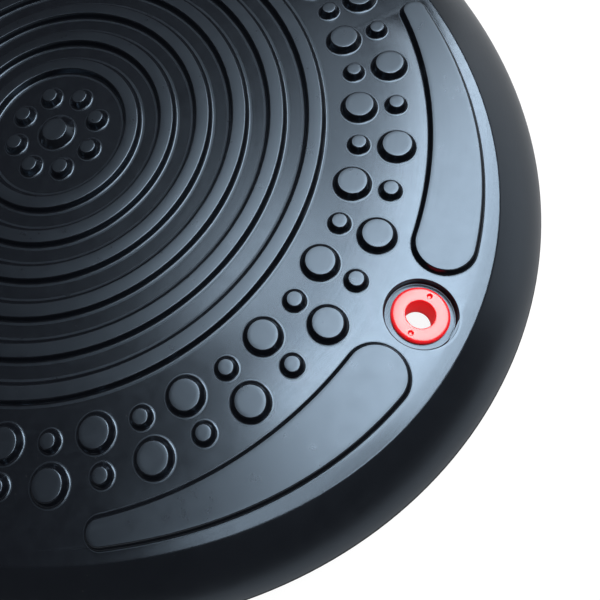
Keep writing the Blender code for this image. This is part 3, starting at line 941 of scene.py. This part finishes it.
@dataclass
class Ridges:
    """Concentric ridges on the dished face."""

    form: Form
    count: int = 6
    first_inner: float = 29.0 * MM
    width: float = 5.0 * MM
    pitch: float = 14.0 * MM
    height: float = 2.5 * MM
    draft: float = 0.9 * MM
    base_fillet: float = 1.0 * MM
    top_fillet: float = 0.5 * MM
    crown: float = 0.05 * MM
    crown_points: int = 11
    root: float = 1.2 * MM
    steps: int = 240

    def profile(self) -> bpy.types.Object:
        """Make the ridge's profile.

        Returns:
            A closed curve, across along X and down along Y.
        """
        top, base = self.width / 2, self.width / 2 + self.draft
        skirt = base + 1.4 * self.base_fillet
        right = [(skirt, -self.root, 0), (skirt, SKIRT, 0), (base, SKIRT, self.base_fillet),
                 (top, self.height, self.top_fillet)]
        left = [(-across, up, radius) for across, up, radius in reversed(right)]
        half = self.crown_points // 2
        shares = [0.15 * place for place in range(half, -half - 1, -1)]
        middle = [(share * top, self.height + self.crown * (1 - share ** 2), 0) for share in shares]
        line = [(across, -up) for across, up in rounded(right + middle + left, steps=5, closed=True)]
        curve = bpy.data.curves.new("ridge_profile", "CURVE")
        spline = curve.splines.new("POLY")
        spline.points.add(len(line) - 1)
        for point, (across, up) in zip(spline.points, line):
            point.co = (across, up, 0.0, 1.0)
        spline.use_cyclic_u = True
        return placed("ridge_profile", curve)

    def tree(self) -> Group:
        """Make the tree that sweeps the profile round circles of growing reach.

        Returns:
            The tree.
        """
        group = Group("ridge_rings", "GeometryNodeTree", {
            "Profile": ("Object", None), "Ridges": ("Int", 6), "First Reach": ("Float", 0.03),
            "Pitch": ("Float", 0.014), "Steps": ("Int", 192)} | DISH_INPUTS, {"Geometry": "Geometry"})
        index = group.add("GeometryNodeInputIndex").outputs[0]
        reach = group.math("ADD", group["First Reach"], group.math("MULTIPLY", index, group["Pitch"]))
        points = group.add("GeometryNodePoints", {"Count": group["Ridges"]})
        circle = group.add("GeometryNodeCurvePrimitiveCircle",
                           {"Resolution": group["Steps"], "Radius": 1.0})
        spread = group.add("GeometryNodeInstanceOnPoints", {
            "Points": points.outputs[0], "Instance": circle.outputs["Curve"],
            "Scale": group.vector(reach, reach, 1.0)})
        paths = group.add("GeometryNodeRealizeInstances", {0: spread.outputs[0]})
        even = group.add("GeometryNodeSetCurveRadius", {0: paths.outputs[0], "Radius": 1.0})
        profile = group.add("GeometryNodeObjectInfo", {"Object": group["Profile"]})
        swept = group.add("GeometryNodeCurveToMesh", {"Curve": even.outputs[0],
                                                      "Profile Curve": profile.outputs["Geometry"]})
        group.finish_mesh(lay_on_face(group, swept.outputs[0], self.level_share))
        return group

    def level_share(self, group: Group, reach: bpy.types.NodeSocket) -> bpy.types.NodeSocket:
        """Add the nodes that pull a high point's reach to its ridge's middle.

        The crests so stay level while the skirts follow the dish.

        Args:
            group: The ridges' tree.
            reach: Distance of a point from the centre.

        Returns:
            The reach at which the point's lift is read.
        """
        first, pitch = group["First Reach"], group["Pitch"]
        steps = group.math("DIVIDE", group.math("SUBTRACT", reach, first), pitch)
        middle = group.math("ADD", first, group.math("MULTIPLY", group.math("ROUND", steps), pitch))
        place = group.add("GeometryNodeInputPosition").outputs[0]
        spot = group.add("ShaderNodeSeparateXYZ", {0: place})
        high = group.add("ShaderNodeMapRange", {"Value": spot.outputs[2], "From Min": 0.0,
                                                "From Max": self.height * 0.8})
        mixed = group.add("ShaderNodeMix", {"Factor": high.outputs[0], 2: reach, 3: middle},
                          data_type="FLOAT")
        return mixed.outputs[0]

    def build(self, material: bpy.types.Material) -> bpy.types.Mesh:
        """Make the ridges.

        Args:
            material: Their finish.

        Returns:
            All ridges as one mesh.
        """
        profile = self.profile()
        mesh = self.tree().run(
            Profile=profile, Ridges=self.count, First_Reach=self.first_inner + self.width / 2,
            Pitch=self.pitch, Steps=self.steps, Face=self.form.face, Dish_Depth=self.form.dish_depth,
            Dish_Reach=self.form.dish_reach, Material=material)
        bpy.data.objects.remove(profile, do_unlink=True)
        return smoothed(mesh)


def smoothed(mesh: bpy.types.Mesh) -> bpy.types.Mesh:
    """Point a swept mesh's faces out and shade it smooth with its sharp edges kept.

    Args:
        mesh: The mesh.

    Returns:
        The same mesh.
    """
    shape = bmesh.new()
    shape.from_mesh(mesh)
    bmesh.ops.recalc_face_normals(shape, faces=shape.faces)
    shape.to_mesh(mesh)
    shape.free()
    mesh.shade_smooth()
    mesh.set_sharp_from_angle(angle=SMOOTH_ANGLE)
    return mesh


class StudSize(Enum):
    """Round studs: top radius, base radius, facets."""

    LARGE = (5.05 * MM, 6.1 * MM, 40)
    SMALL = (2.65 * MM, 3.5 * MM, 28)
    RING = (3.1 * MM, 4.3 * MM, 32)
    CENTRE = (5.0 * MM, 7.4 * MM, 48)


@dataclass
class Studs:
    """Rows of round massage studs."""

    form: Form
    height: float = 3.0 * MM
    base_fillet: float = 1.0 * MM
    top_fillet: float = 0.5 * MM
    root: float = 1.2 * MM
    per_row: int = 48
    inner_reach: float = 117.0 * MM
    outer_reach: float = 129.8 * MM
    ring_count: int = 8
    ring_reach: float = 17.0 * MM
    patterns: dict = field(default_factory=dict)

    def pattern(self, size: StudSize) -> bpy.types.Object:
        """Make one stud, standing on height 0, that the rows copy.

        Args:
            size: The stud's size.

        Returns:
            The stud as an object.
        """
        if size not in self.patterns:
            top, base, steps = size.value
            skirt = base + self.base_fillet
            line = rounded([
                (skirt, -self.root, 0), (skirt, SKIRT, 0), (base, SKIRT, self.base_fillet),
                (top, self.height, self.top_fillet), (top - 3 * self.top_fillet, self.height, 0),
                (0.35 * top, self.height, 0)], steps=5)
            mesh = MeshMaker().turned(line, steps, caps=True).mesh(size.name)
            self.patterns[size] = placed(size.name, mesh)
        return self.patterns[size]

    def tree(self) -> Group:
        """Make the tree that sets two stud sizes in turn round a circle.

        Returns:
            The tree.
        """
        group = Group("stud_row", "GeometryNodeTree", {
            "Even Stud": ("Object", None), "Odd Stud": ("Object", None), "Count": ("Int", 48),
            "Reach": ("Float", 0.1), "Lead": ("Float", 0.0)} | DISH_INPUTS, {"Geometry": "Geometry"})
        index = group.add("GeometryNodeInputIndex").outputs[0]
        pitch = group.math("DIVIDE", math.tau, group["Count"])
        turn = group.math("ADD", group["Lead"], group.math("MULTIPLY", index, pitch))
        spot = group.vector(*(group.math("MULTIPLY", group["Reach"], group.math(part, turn))
                              for part in ("COSINE", "SINE")), 0.0)
        points = group.add("GeometryNodePoints", {"Count": group["Count"], "Position": spot})
        facing = group.add("FunctionNodeEulerToRotation", {0: group.vector(0.0, 0.0, turn)})
        odd = group.math("MODULO", index, 2.0)
        joined = group.add("GeometryNodeJoinGeometry")
        for label, chosen in (("Even Stud", group.math("SUBTRACT", 1.0, odd)), ("Odd Stud", odd)):
            stud = group.add("GeometryNodeObjectInfo", {"Object": group[label]})
            row = group.add("GeometryNodeInstanceOnPoints", {
                "Points": points.outputs[0], "Selection": chosen, "Instance": stud.outputs["Geometry"],
                "Rotation": facing.outputs[0]})
            group.tree.links.new(row.outputs[0], joined.inputs[0])
        solid = group.add("GeometryNodeRealizeInstances", {0: joined.outputs[0]})
        group.finish_mesh(lay_on_face(group, solid.outputs[0]))
        return group

    def build(self, material: bpy.types.Material) -> dict[str, bpy.types.Mesh]:
        """Make the rows.

        Args:
            material: Their finish.

        Returns:
            The meshes of all rows by name.
        """
        tree, first = self.tree(), self.form.lobe_turn(0)
        rows = {
            "inner_studs": (StudSize.LARGE, StudSize.SMALL, self.per_row, self.inner_reach),
            "outer_studs": (StudSize.SMALL, StudSize.LARGE, self.per_row, self.outer_reach),
            "ring_studs": (StudSize.RING, StudSize.RING, self.ring_count, self.ring_reach),
            "centre_stud": (StudSize.CENTRE, StudSize.CENTRE, 1, 0.0),
        }
        made = {name: tree.run(
            Even_Stud=self.pattern(even), Odd_Stud=self.pattern(odd), Count=count, Reach=reach,
            Lead=first, Face=self.form.face, Dish_Depth=self.form.dish_depth,
            Dish_Reach=self.form.dish_reach, Material=material)
            for name, (even, odd, count, reach) in rows.items()}
        for thing in self.patterns.values():
            bpy.data.objects.remove(thing, do_unlink=True)
        return made


@dataclass
class Pads:
    """Crescent pads, a mirrored pair at each eyelet."""

    form: Form
    height: float = 2.5 * MM
    draft: float = 0.9 * MM
    inner_reach: float = 141.2 * MM
    wide_margin: float = 6.2 * MM
    tip_margin: float = 4.3 * MM
    wide_angle: float = math.radians(9.1)
    tip_angle: float = math.radians(46.2)
    base_fillet: float = 0.6 * MM
    top_fillet: float = 0.45 * MM
    root: float = 1.2 * MM
    side_steps: int = 44
    end_steps: int = 24

    def outer(self, angle: float) -> float:
        """Find the reach of the pad's outer edge.

        Args:
            angle: Angle from the eyelet.

        Returns:
            The distance from the centre.
        """
        share = (angle - self.wide_angle) / (self.tip_angle - self.wide_angle)
        margin = self.wide_margin + share * (self.tip_margin - self.wide_margin)
        return self.form.top.reach(self.form.lobe_turn(0) + angle) - margin

    def outline(self, side: int, grow: float, height: float) -> list[Vector]:
        """Make the pad's outline.

        Args:
            side: 1 or -1, for the two sides of the eyelet.
            grow: How far the outline is moved out all round.
            height: Height of the outline.

        Returns:
            The outline's points.
        """
        span = [self.wide_angle + (self.tip_angle - self.wide_angle) * step / self.side_steps
                for step in range(self.side_steps + 1)]
        points = [polar(self.inner_reach - grow, angle) for angle in span]
        points += self.rounded_end(self.tip_angle, 1, grow)
        points += [polar(self.outer(angle) + grow, angle) for angle in reversed(span)]
        points += self.rounded_end(self.wide_angle, -1, grow)
        place = Matrix.Rotation(self.form.lobe_turn(0), 4, "Z")
        return [place @ Vector((point.x, side * point.y, height)) for point in points]

    def rounded_end(self, angle: float, heading: int, grow: float) -> list[Vector]:
        """Make the half circle that closes one end of the pad.

        Args:
            angle: Angle of the end from the eyelet.
            heading: 1 for the end away from the eyelet, -1 for the near one.
            grow: How far the outline is moved out all round.

        Returns:
            The points between the half circle's ends.
        """
        half = (self.outer(angle) - self.inner_reach) / 2
        centre = polar(self.inner_reach + half, angle)
        along = polar(1.0, angle + math.pi / 2 * heading)
        ends = []
        for step in range(1, self.end_steps):
            sweep = math.pi * step / self.end_steps
            ends.append(centre + (half + grow) * (
                math.sin(sweep) * along - heading * math.cos(sweep) * polar(1.0, angle)))
        return ends

    def tree(self) -> Group:
        """Make the tree that sets copies of a shape round the Z axis.

        Returns:
            The tree.
        """
        group = Group("round_the_lobes", "GeometryNodeTree", {
            "Pattern": ("Object", None), "Count": ("Int", 3), "Material": ("Material", None)},
            {"Geometry": "Geometry"})
        index = group.add("GeometryNodeInputIndex").outputs[0]
        turn = group.math("MULTIPLY", index, group.math("DIVIDE", math.tau, group["Count"]))
        points = group.add("GeometryNodePoints", {"Count": group["Count"]})
        facing = group.add("FunctionNodeEulerToRotation", {0: group.vector(0.0, 0.0, turn)})
        pattern = group.add("GeometryNodeObjectInfo", {"Object": group["Pattern"]})
        spread = group.add("GeometryNodeInstanceOnPoints", {
            "Points": points.outputs[0], "Instance": pattern.outputs["Geometry"],
            "Rotation": facing.outputs[0]})
        group.finish_mesh(spread.outputs[0])
        return group

    def build(self, material: bpy.types.Material) -> bpy.types.Mesh:
        """Make the pads.

        Args:
            material: Their finish.

        Returns:
            All pads as one mesh.
        """
        face, crest = self.form.face, self.form.face + self.height
        skirt = self.draft + self.base_fillet
        levels = rounded([
            (skirt, face - self.root, 0), (skirt, face + SKIRT, 0),
            (self.draft, face + SKIRT, self.base_fillet), (0.0, crest, self.top_fillet),
            (-3 * self.top_fillet, crest, 0)], steps=5)
        maker = MeshMaker()
        for side in (1, -1):
            maker.rings([self.outline(side, grow, height) for grow, height in levels], caps=True)
        pattern = placed("pad_pair", maker.mesh("pad_pair"))
        mesh = self.tree().run(Pattern=pattern, Count=self.form.lobes, Material=material)
        bpy.data.objects.remove(pattern, do_unlink=True)
        return mesh


# ---------------------------------------------------------------- bottom skin and bead


@dataclass
class BottomSkin:
    """Lower skin: flat foot, crown, round corner, cup holes and the valve pocket."""

    form: Form
    steps: int = 192
    foot_reach: float = 95.0 * MM
    crown_reach: float = 125.0 * MM
    crown_rise: float = 1.6 * MM
    corner_width: float = 26.0 * MM
    corner_rise: float = 3.5 * MM
    corner_rings: int = 18
    cup_radius: float = 17.0 * MM
    cup_wall: float = 3.0 * MM
    cup_fit: float = 0.08 * MM

    def corner(self, inset: float) -> list[list[Vector]]:
        """Make the rings of the round corner.

        Args:
            inset: How far the corner is set in from the outside.

        Returns:
            The rings, from the underside up.
        """
        edge, floor = self.form.edge_height(-1), self.corner_rise + inset
        rings = []
        for place in range(self.corner_rings):
            angle = math.pi / 2 * place / self.corner_rings
            width = (self.corner_width - inset) * (1.0 - math.sin(angle)) + inset
            height = edge - (edge - floor) * math.cos(angle)
            rings.append(ring(self.form.rim.moved(-width), height, self.steps))
        return rings

    def underside(self) -> list[list[Vector]]:
        """Make the rings of the underside.

        Returns:
            The rings, from the foot out to the widest line.
        """
        between = (self.foot_reach + self.crown_reach) / 2
        flat = [(self.foot_reach - 8 * MM, 0.0), (self.foot_reach, 0.0),
                (between, 0.42 * self.crown_rise), (self.crown_reach, self.crown_rise)]
        foot = [ring(reach, height, self.steps) for reach, height in flat]
        edge = ring(self.form.rim.reach, self.form.edge_height(-1), self.steps)
        return [*foot, *self.corner(0.0), edge]

    def shell(self) -> bpy.types.Mesh:
        """Make the skin before anything is cut.

        Returns:
            The closed shell.
        """
        form = self.form
        inner = self.corner(form.bead_depth + form.wall)[::-1]
        inner.append(ring(self.crown_reach, self.crown_rise + form.wall, self.steps))
        inner.append(ring(self.foot_reach, form.wall, self.steps))
        rings = self.underside() + form.weld_edge(-1, self.steps) + inner
        return MeshMaker().rings(rings, caps=True).mesh("bottom_shell")

    def build(self, valve: "Valve") -> bpy.types.Mesh:
        """Make the skin with its cup holes and the valve's pocket.

        Args:
            valve: The valve, which knows the shape of its pocket.

        Returns:
            The skin as one closed mesh.
        """
        hole = self.cup_radius + self.cup_fit
        line = [(hole, -self.form.wall), (hole, self.form.rim_height)]
        cutters = [MeshMaker().turned(line, CUP_STEPS, self.form.eyelet_axis(lobe),
                                      caps=True).mesh("cup_hole") for lobe in range(self.form.lobes)]
        return cut(self.shell(), [*cutters, valve.pocket_cutter()])

    def cup(self, lobe: int) -> bpy.types.Mesh:
        """Make the cup under an eyelet, with its mouth flush with the underside.

        Args:
            lobe: Number of the eyelet, from 0.

        Returns:
            The cup.
        """
        form, inner = self.form, self.cup_radius - self.cup_wall
        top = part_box(f"eyelet_cup_{lobe + 1}")[1].z
        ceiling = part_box(f"eyelet_nut_{lobe + 1}")[1].z + form.fit
        line = rounded([
            (inner, -form.wall, 0), (inner, ceiling, 0.8 * MM), (form.sleeve_hole, ceiling, 0),
            (form.sleeve_hole, top, 0), (self.cup_radius, top, 0.5 * MM),
            (self.cup_radius, -form.wall, 0)], steps=5)
        cup = MeshMaker().turned(line, CUP_STEPS, form.eyelet_axis(lobe), closed=True).mesh("cup")
        outside = form.rim.moved(40 * MM)
        below = [ring(outside, -20 * MM, self.steps), ring(outside, 23 * MM, self.steps),
                 *self.underside()[::-1]]
        return cut(cup, [MeshMaker().rings(below, caps=True).mesh("below")])


@dataclass
class Bead:
    """Weld bead between the two skins."""

    form: Form
    proud: float = 0.35 * MM
    steps: int = 288

    def build(self) -> bpy.types.Mesh:
        """Make the bead.

        Returns:
            The bead.
        """
        form = self.form
        low, high = form.rim_height - form.bead_height / 2, form.rim_height + form.bead_height / 2
        back = form.fit - form.bead_depth
        line = rounded([(back, low, 0), (self.proud, low, 0.8 * MM), (self.proud, high, 0.8 * MM),
                        (back, high, 0)], steps=6)
        rings = [ring(form.rim.moved(out), height, self.steps) for out, height in line]
        return MeshMaker().rings(rings, closed=True).mesh("bead")


# ---------------------------------------------------------------- eyelets


@dataclass
class Eyelet:
    """Flanged bush and spanner nut of one eyelet."""

    form: Form
    lobe: int
    sleeve: float = 6.5 * MM
    edge: float = 0.9 * MM
    nut_edge: float = 0.4 * MM
    mouth: float = 0.35 * MM
    pin_radius: float = 0.9 * MM
    pin_depth: float = 1.2 * MM
    nut_radius: float = 10.5 * MM
    steps: int = 96

    def pins(self, reach: float, surface: float) -> list[bpy.types.Mesh]:
        """Make the cutters for the two spanner holes, one on each side of the axis.

        Args:
            reach: Distance of a hole from the axis.
            surface: Height of the face that they are sunk in.

        Returns:
            The two cutters.
        """
        wide, depth = self.pin_radius, self.pin_depth
        narrow = 0.45 * wide
        line = [(narrow, surface - depth), (wide, surface - 0.6 * depth),
                (wide, surface + 0.6 * depth), (narrow, surface + depth)]
        axes = [self.form.eyelet_axis(self.lobe) @ Matrix.Translation((0.0, side * reach, 0.0))
                for side in (1, -1)]
        return [MeshMaker().turned(line, 24, axis, caps=True).mesh("pin") for axis in axes]

    def spun(self, line: Sequence[Pair], name: str) -> bpy.types.Mesh:
        """Return a closed profile turned about the eyelet's axis."""
        axis = self.form.eyelet_axis(self.lobe)
        return MeshMaker().turned(line, self.steps, axis, closed=True).mesh(name)

    def bush(self) -> bpy.types.Mesh:
        """Make the bush.

        Returns:
            The bush, with its spanner holes.
        """
        low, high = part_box(f"eyelet_bush_{self.lobe + 1}")
        form = self.form
        shoulder = form.face - form.recess_depth + form.fit
        line = rounded([
            (form.bore, low.z, 0.3 * MM), (form.bore, high.z, self.mouth),
            (form.flange, high.z, self.edge), (form.flange, shoulder, 0.3 * MM),
            (self.sleeve, shoulder, 0), (self.sleeve, low.z, 0.3 * MM)], steps=6, closed=True)
        return cut(self.spun(line, "bush"), self.pins((form.bore + form.flange) / 2, high.z))

    def nut(self) -> bpy.types.Mesh:
        """Make the nut.

        Returns:
            The nut, with its spanner holes.
        """
        low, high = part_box(f"eyelet_nut_{self.lobe + 1}")
        hole = self.form.sleeve_hole
        line = rounded([
            (hole, low.z, 0.3 * MM), (hole, high.z, 0), (self.nut_radius, high.z, 0.2 * MM),
            (self.nut_radius, low.z, self.nut_edge)], steps=6, closed=True)
        return cut(self.spun(line, "nut"), self.pins((hole + self.nut_radius) / 2, low.z))


# ---------------------------------------------------------------- valve


@dataclass
class Valve:
    """Inflation valve in its pocket at the back, and its plug."""

    form: Form
    flange: float = 6.5 * MM
    flange_depth: float = 2.0 * MM
    tube: float = 4.8 * MM
    tube_length: float = 11.5 * MM
    bore: float = 2.5 * MM
    cap: float = 5.0 * MM
    cap_depth: float = 1.6 * MM
    knob: float = 2.2 * MM
    knob_length: float = 4.0 * MM
    plug_length: float = 9.5 * MM
    pocket_reach: float = 14.0 * MM
    boss_wall: float = 1.7 * MM
    boss_length: float = 9.0 * MM
    steps: int = 64

    def spun(self, line: Sequence[Pair], name: str, **ends: bool) -> bpy.types.Mesh:
        """Turn a profile about the valve's axis.

        Args:
            line: The profile, with heights measured outwards from the valve's face.
            name: The mesh's name.
            **ends: Whether the profile is closed, or its ends get caps.

        Returns:
            The turned mesh.
        """
        low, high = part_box("valve_body")
        outwards = Matrix.Rotation(-math.pi / 2, 4, "X")
        axis = Matrix.Translation((0.0, high.y, (low.z + high.z) / 2)) @ outwards
        return MeshMaker().turned(line, self.steps, axis, **ends).mesh(name)

    def pocket_cutter(self) -> bpy.types.Mesh:
        """Make the cutter for the pocket and the hole of the tube.

        Returns:
            The cutter.
        """
        fit = self.form.fit
        seat = -self.flange_depth - fit
        line = [(self.tube + fit, -self.tube_length - 4 * MM), (self.tube + fit, seat),
                (self.flange + fit, seat), (self.flange + fit, self.pocket_reach)]
        return self.spun(line, "pocket", caps=True)

    def boss(self) -> bpy.types.Mesh:
        """Make the sleeve of rubber that lines the pocket inside the skin.

        Returns:
            The sleeve.
        """
        fit = self.form.fit
        seat, outer = -self.flange_depth - fit, self.flange + fit + self.boss_wall
        line = [(self.tube + fit, -self.boss_length), (self.tube + fit, seat),
                (self.flange + fit, seat), (self.flange + fit, 0.0), (outer, 0.0),
                (outer, -self.boss_length)]
        return self.spun(line, "boss", closed=True)

    def body(self) -> bpy.types.Mesh:
        """Make the valve's body.

        Returns:
            The body.
        """
        line = rounded([
            (self.bore, -self.tube_length, 0.2 * MM), (self.bore, 0.0, 0.2 * MM),
            (self.flange, 0.0, 0.6 * MM), (self.flange, -self.flange_depth, 0),
            (self.tube, -self.flange_depth, 0), (self.tube, -self.tube_length, 0.4 * MM)],
            steps=4, closed=True)
        return self.spun(line, "valve", closed=True)

    def plug(self) -> bpy.types.Mesh:
        """Make the plug, with a waisted knob to pull it by.

        Returns:
            The plug.
        """
        fit = self.form.fit
        stem, waist, top = self.bore - fit, 0.8 * self.knob, self.cap_depth + self.knob_length
        line = rounded([
            (0.3 * stem, -self.plug_length, 0), (stem - 0.5 * MM, -self.plug_length, 0.4 * MM),
            (stem, -self.plug_length / 2, 0), (stem, fit, 0), (self.cap, fit, 0.3 * MM),
            (self.cap, self.cap_depth, 0.5 * MM), (waist, self.cap_depth, 0.5 * MM),
            (waist, top - 1.6 * MM, 0.3 * MM), (self.knob, top - 1.2 * MM, 0.3 * MM),
            (self.knob, top, 0.5 * MM), (0.3 * self.knob, top, 0)], steps=4)
        return self.spun(line, "plug", caps=True)


# ---------------------------------------------------------------- studio


@dataclass(frozen=True)
class Softbox:
    """Rectangular soft lamp, either level or turned to the cushion."""

    name: str
    centre: tuple[float, float, float]
    size: Pair
    glow: float
    level: bool = True

    def build(self) -> None:
        """Add the lamp. Its power gives its face the radiance `glow`."""
        lamp = bpy.data.lights.new(self.name, "AREA")
        lamp.shape = "RECTANGLE"
        lamp.size, lamp.size_y = self.size
        lamp.energy = self.glow * math.pi * lamp.size * lamp.size_y
        box = placed(self.name, lamp)
        box.location = self.centre
        box.visible_camera = False
        if not self.level:
            box.rotation_mode = "QUATERNION"
            box.rotation_quaternion = (-Vector(self.centre)).to_track_quat("-Z", "Y")


@dataclass(frozen=True)
class Studio:
    """Floor, light and camera."""

    eye: tuple[float, float, float] = (-62.87 * MM, -158.84 * MM, 249.58 * MM)
    azimuth: float = -35.03
    elevation: float = 62.29
    roll: float = -25.00
    lens: float = 40.31
    shift: Pair = (0.1704, -0.1691)
    floor_size: float = 12.0
    floor_drop: float = 0.05 * MM
    fill: float = 0.02
    glow: float = 0.93
    paint: float = 0.42
    seen_paint: float = 0.12
    mirrored: float = 0.25
    haze: Pair = (0.0, 0.10)
    lamps: tuple[Softbox, ...] = (
        Softbox("long_softbox", (1.22, -0.04, 2.30), (2.36, 0.52), 14.2),
        Softbox("small_softbox", (0.59, 0.645, 2.30), (0.52, 0.51), 5.5),
        Softbox("right_brim_softbox", (1.05, -0.54, 2.30), (1.70, 0.44), 9.5),
        Softbox("left_brim_softbox", (-0.38, -0.20, 2.30), (0.78, 0.44), 4.5),
        Softbox("wide_softbox", (1.00, 0.60, 2.32), (1.40, 0.66), 1.9),
        Softbox("front_softbox", (-0.15, -1.10, 2.30), (0.80, 0.80), 8.0, level=False),
        Softbox("low_panel", (1.90, -1.50, 0.60), (2.50, 0.90), 0.9, level=False))

    def floor(self) -> None:
        """Add the pale floor."""
        half = self.floor_size / 2
        corners = ((-half, -half), (half, -half), (half, half), (-half, half))
        maker = MeshMaker().plate([Vector((x, y, -self.floor_drop)) for x, y in corners], [])
        material = bpy.data.materials.new("floor_white")
        material.use_nodes = True
        nodes, tree = Nodes(material.node_tree), material.node_tree
        tree.nodes.remove(tree.nodes["Principled BSDF"])
        paint, dim = (nodes.add("ShaderNodeBsdfDiffuse", {"Color": (tone, tone, tone, 1.0)})
                      for tone in (self.paint, self.seen_paint))
        glow = nodes.add("ShaderNodeEmission", {"Color": (1.0, 1.0, 1.0, 1.0), "Strength": self.glow})
        seen = nodes.add("ShaderNodeAddShader", {0: dim.outputs[0], 1: glow.outputs[0]})
        path = nodes.add("ShaderNodeLightPath")
        clear = nodes.math("MAXIMUM", path.outputs["Is Camera Ray"],
                           path.outputs["Is Transmission Ray"])
        mirrored = nodes.math("MULTIPLY", path.outputs["Is Glossy Ray"], self.mirrored)
        shown = nodes.math("MAXIMUM", clear, mirrored)
        both = nodes.add("ShaderNodeMixShader", {0: shown, 1: paint.outputs[0], 2: seen.outputs[0]})
        tree.links.new(both.outputs[0], tree.nodes["Material Output"].inputs["Surface"])
        mesh = maker.mesh("floor")
        if mesh.polygons[0].normal.z < 0:
            mesh.flip_normals()
        mesh.materials.append(material)
        placed("floor", mesh)

    def room(self) -> None:
        """Add the room: white behind the cushion and low down in its reflections, dim above."""
        world = bpy.data.worlds.new("room")
        world.use_nodes = True
        bpy.context.scene.world = world
        nodes, tree = Nodes(world.node_tree), world.node_tree
        path = nodes.add("ShaderNodeLightPath")
        heading = nodes.add("ShaderNodeSeparateXYZ",
                            {0: nodes.add("ShaderNodeTexCoord").outputs["Generated"]})
        low = nodes.add("ShaderNodeMapRange", {
            "Value": heading.outputs[2], "From Min": self.haze[0], "From Max": self.haze[1],
            "To Min": 1.0, "To Max": 0.0})
        mirrored = nodes.math("MULTIPLY", path.outputs["Is Glossy Ray"], low.outputs[0])
        clear = nodes.math("MAXIMUM", path.outputs["Is Camera Ray"],
                           path.outputs["Is Transmission Ray"])
        shown = nodes.math("MAXIMUM", clear, mirrored)
        tone = nodes.add("ShaderNodeMix", {0: shown, 6: (self.fill,) * 3 + (1.0,),
                                           7: (1.0, 1.0, 1.0, 1.0)}, data_type="RGBA")
        tree.links.new(tone.outputs[2], tree.nodes["Background"].inputs["Color"])

    def camera(self) -> None:
        """Add the camera at the photograph's place."""
        data = bpy.data.cameras.new("camera")
        data.lens = self.lens
        data.shift_x, data.shift_y = self.shift
        data.clip_start = 0.01
        camera = placed("camera", data)
        turn, lift = math.radians(self.azimuth), math.radians(self.elevation)
        ahead = -polar(math.cos(lift), turn - math.pi / 2, math.sin(lift))
        level = ahead.to_track_quat("-Z", "Y")
        camera.location = self.eye
        camera.rotation_mode = "QUATERNION"
        camera.rotation_quaternion = level @ Quaternion((0.0, 0.0, 1.0), math.radians(self.roll))
        bpy.context.scene.camera = camera

    def build(self) -> None:
        """Set the whole studio up."""
        self.floor()
        for lamp in self.lamps:
            lamp.build()
        self.room()
        self.camera()
        bpy.context.scene.view_settings.view_transform = "Standard"


# ---------------------------------------------------------------- assembly


def main() -> None:
    """Build the studio and every piece of the cushion."""
    logging.basicConfig(level=logging.INFO, format="%(name)s %(message)s")
    Studio().build()
    shop = Shop()
    skin, relief, underside = SKIN.build(shop), RELIEF.build(shop), UNDERSIDE.build(shop)
    bead = BEAD.build(shop)
    seal, red = SEAL.build(shop), RED.build(shop)
    form = Form.from_solids()

    add_piece("top_skin_surface", TopSkin(form).build(), skin, stands_for=["top_skin"])
    add_piece("ridges", Ridges(form).build(relief), relief)
    for name, mesh in Studs(form).build(relief).items():
        add_piece(name, mesh, relief)
    add_piece("crescent_pads", Pads(form).build(relief), relief)

    valve, bottom = Valve(form), BottomSkin(form)
    add_piece("bottom_skin_surface", bottom.build(valve), underside,
              stands_for=["bottom_skin"])
    add_piece("valve_boss", valve.boss(), underside)
    add_piece("weld_bead", Bead(form).build(), bead, stands_for=["rim_seam"])
    for lobe in range(form.lobes):
        number, eyelet = lobe + 1, Eyelet(form, lobe)
        add_piece(f"cup_{number}", bottom.cup(lobe), underside,
                  stands_for=[f"eyelet_cup_{number}"])
        add_piece(f"bush_{number}", eyelet.bush(), red,
                  stands_for=[f"eyelet_bush_{number}"])
        add_piece(f"nut_{number}", eyelet.nut(), red,
                  stands_for=[f"eyelet_nut_{number}"])
        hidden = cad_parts[f"eyelet_seal_{number}"]
        hidden.data.materials.clear()
        hidden.data.materials.append(seal)
    add_piece("valve_sleeve", valve.body(), seal, stands_for=["valve_body"])
    add_piece("stopper", valve.plug(), red, body=Body.PLUG,
              stands_for=["valve_plug"])


if __name__ == "__main__":
    main()
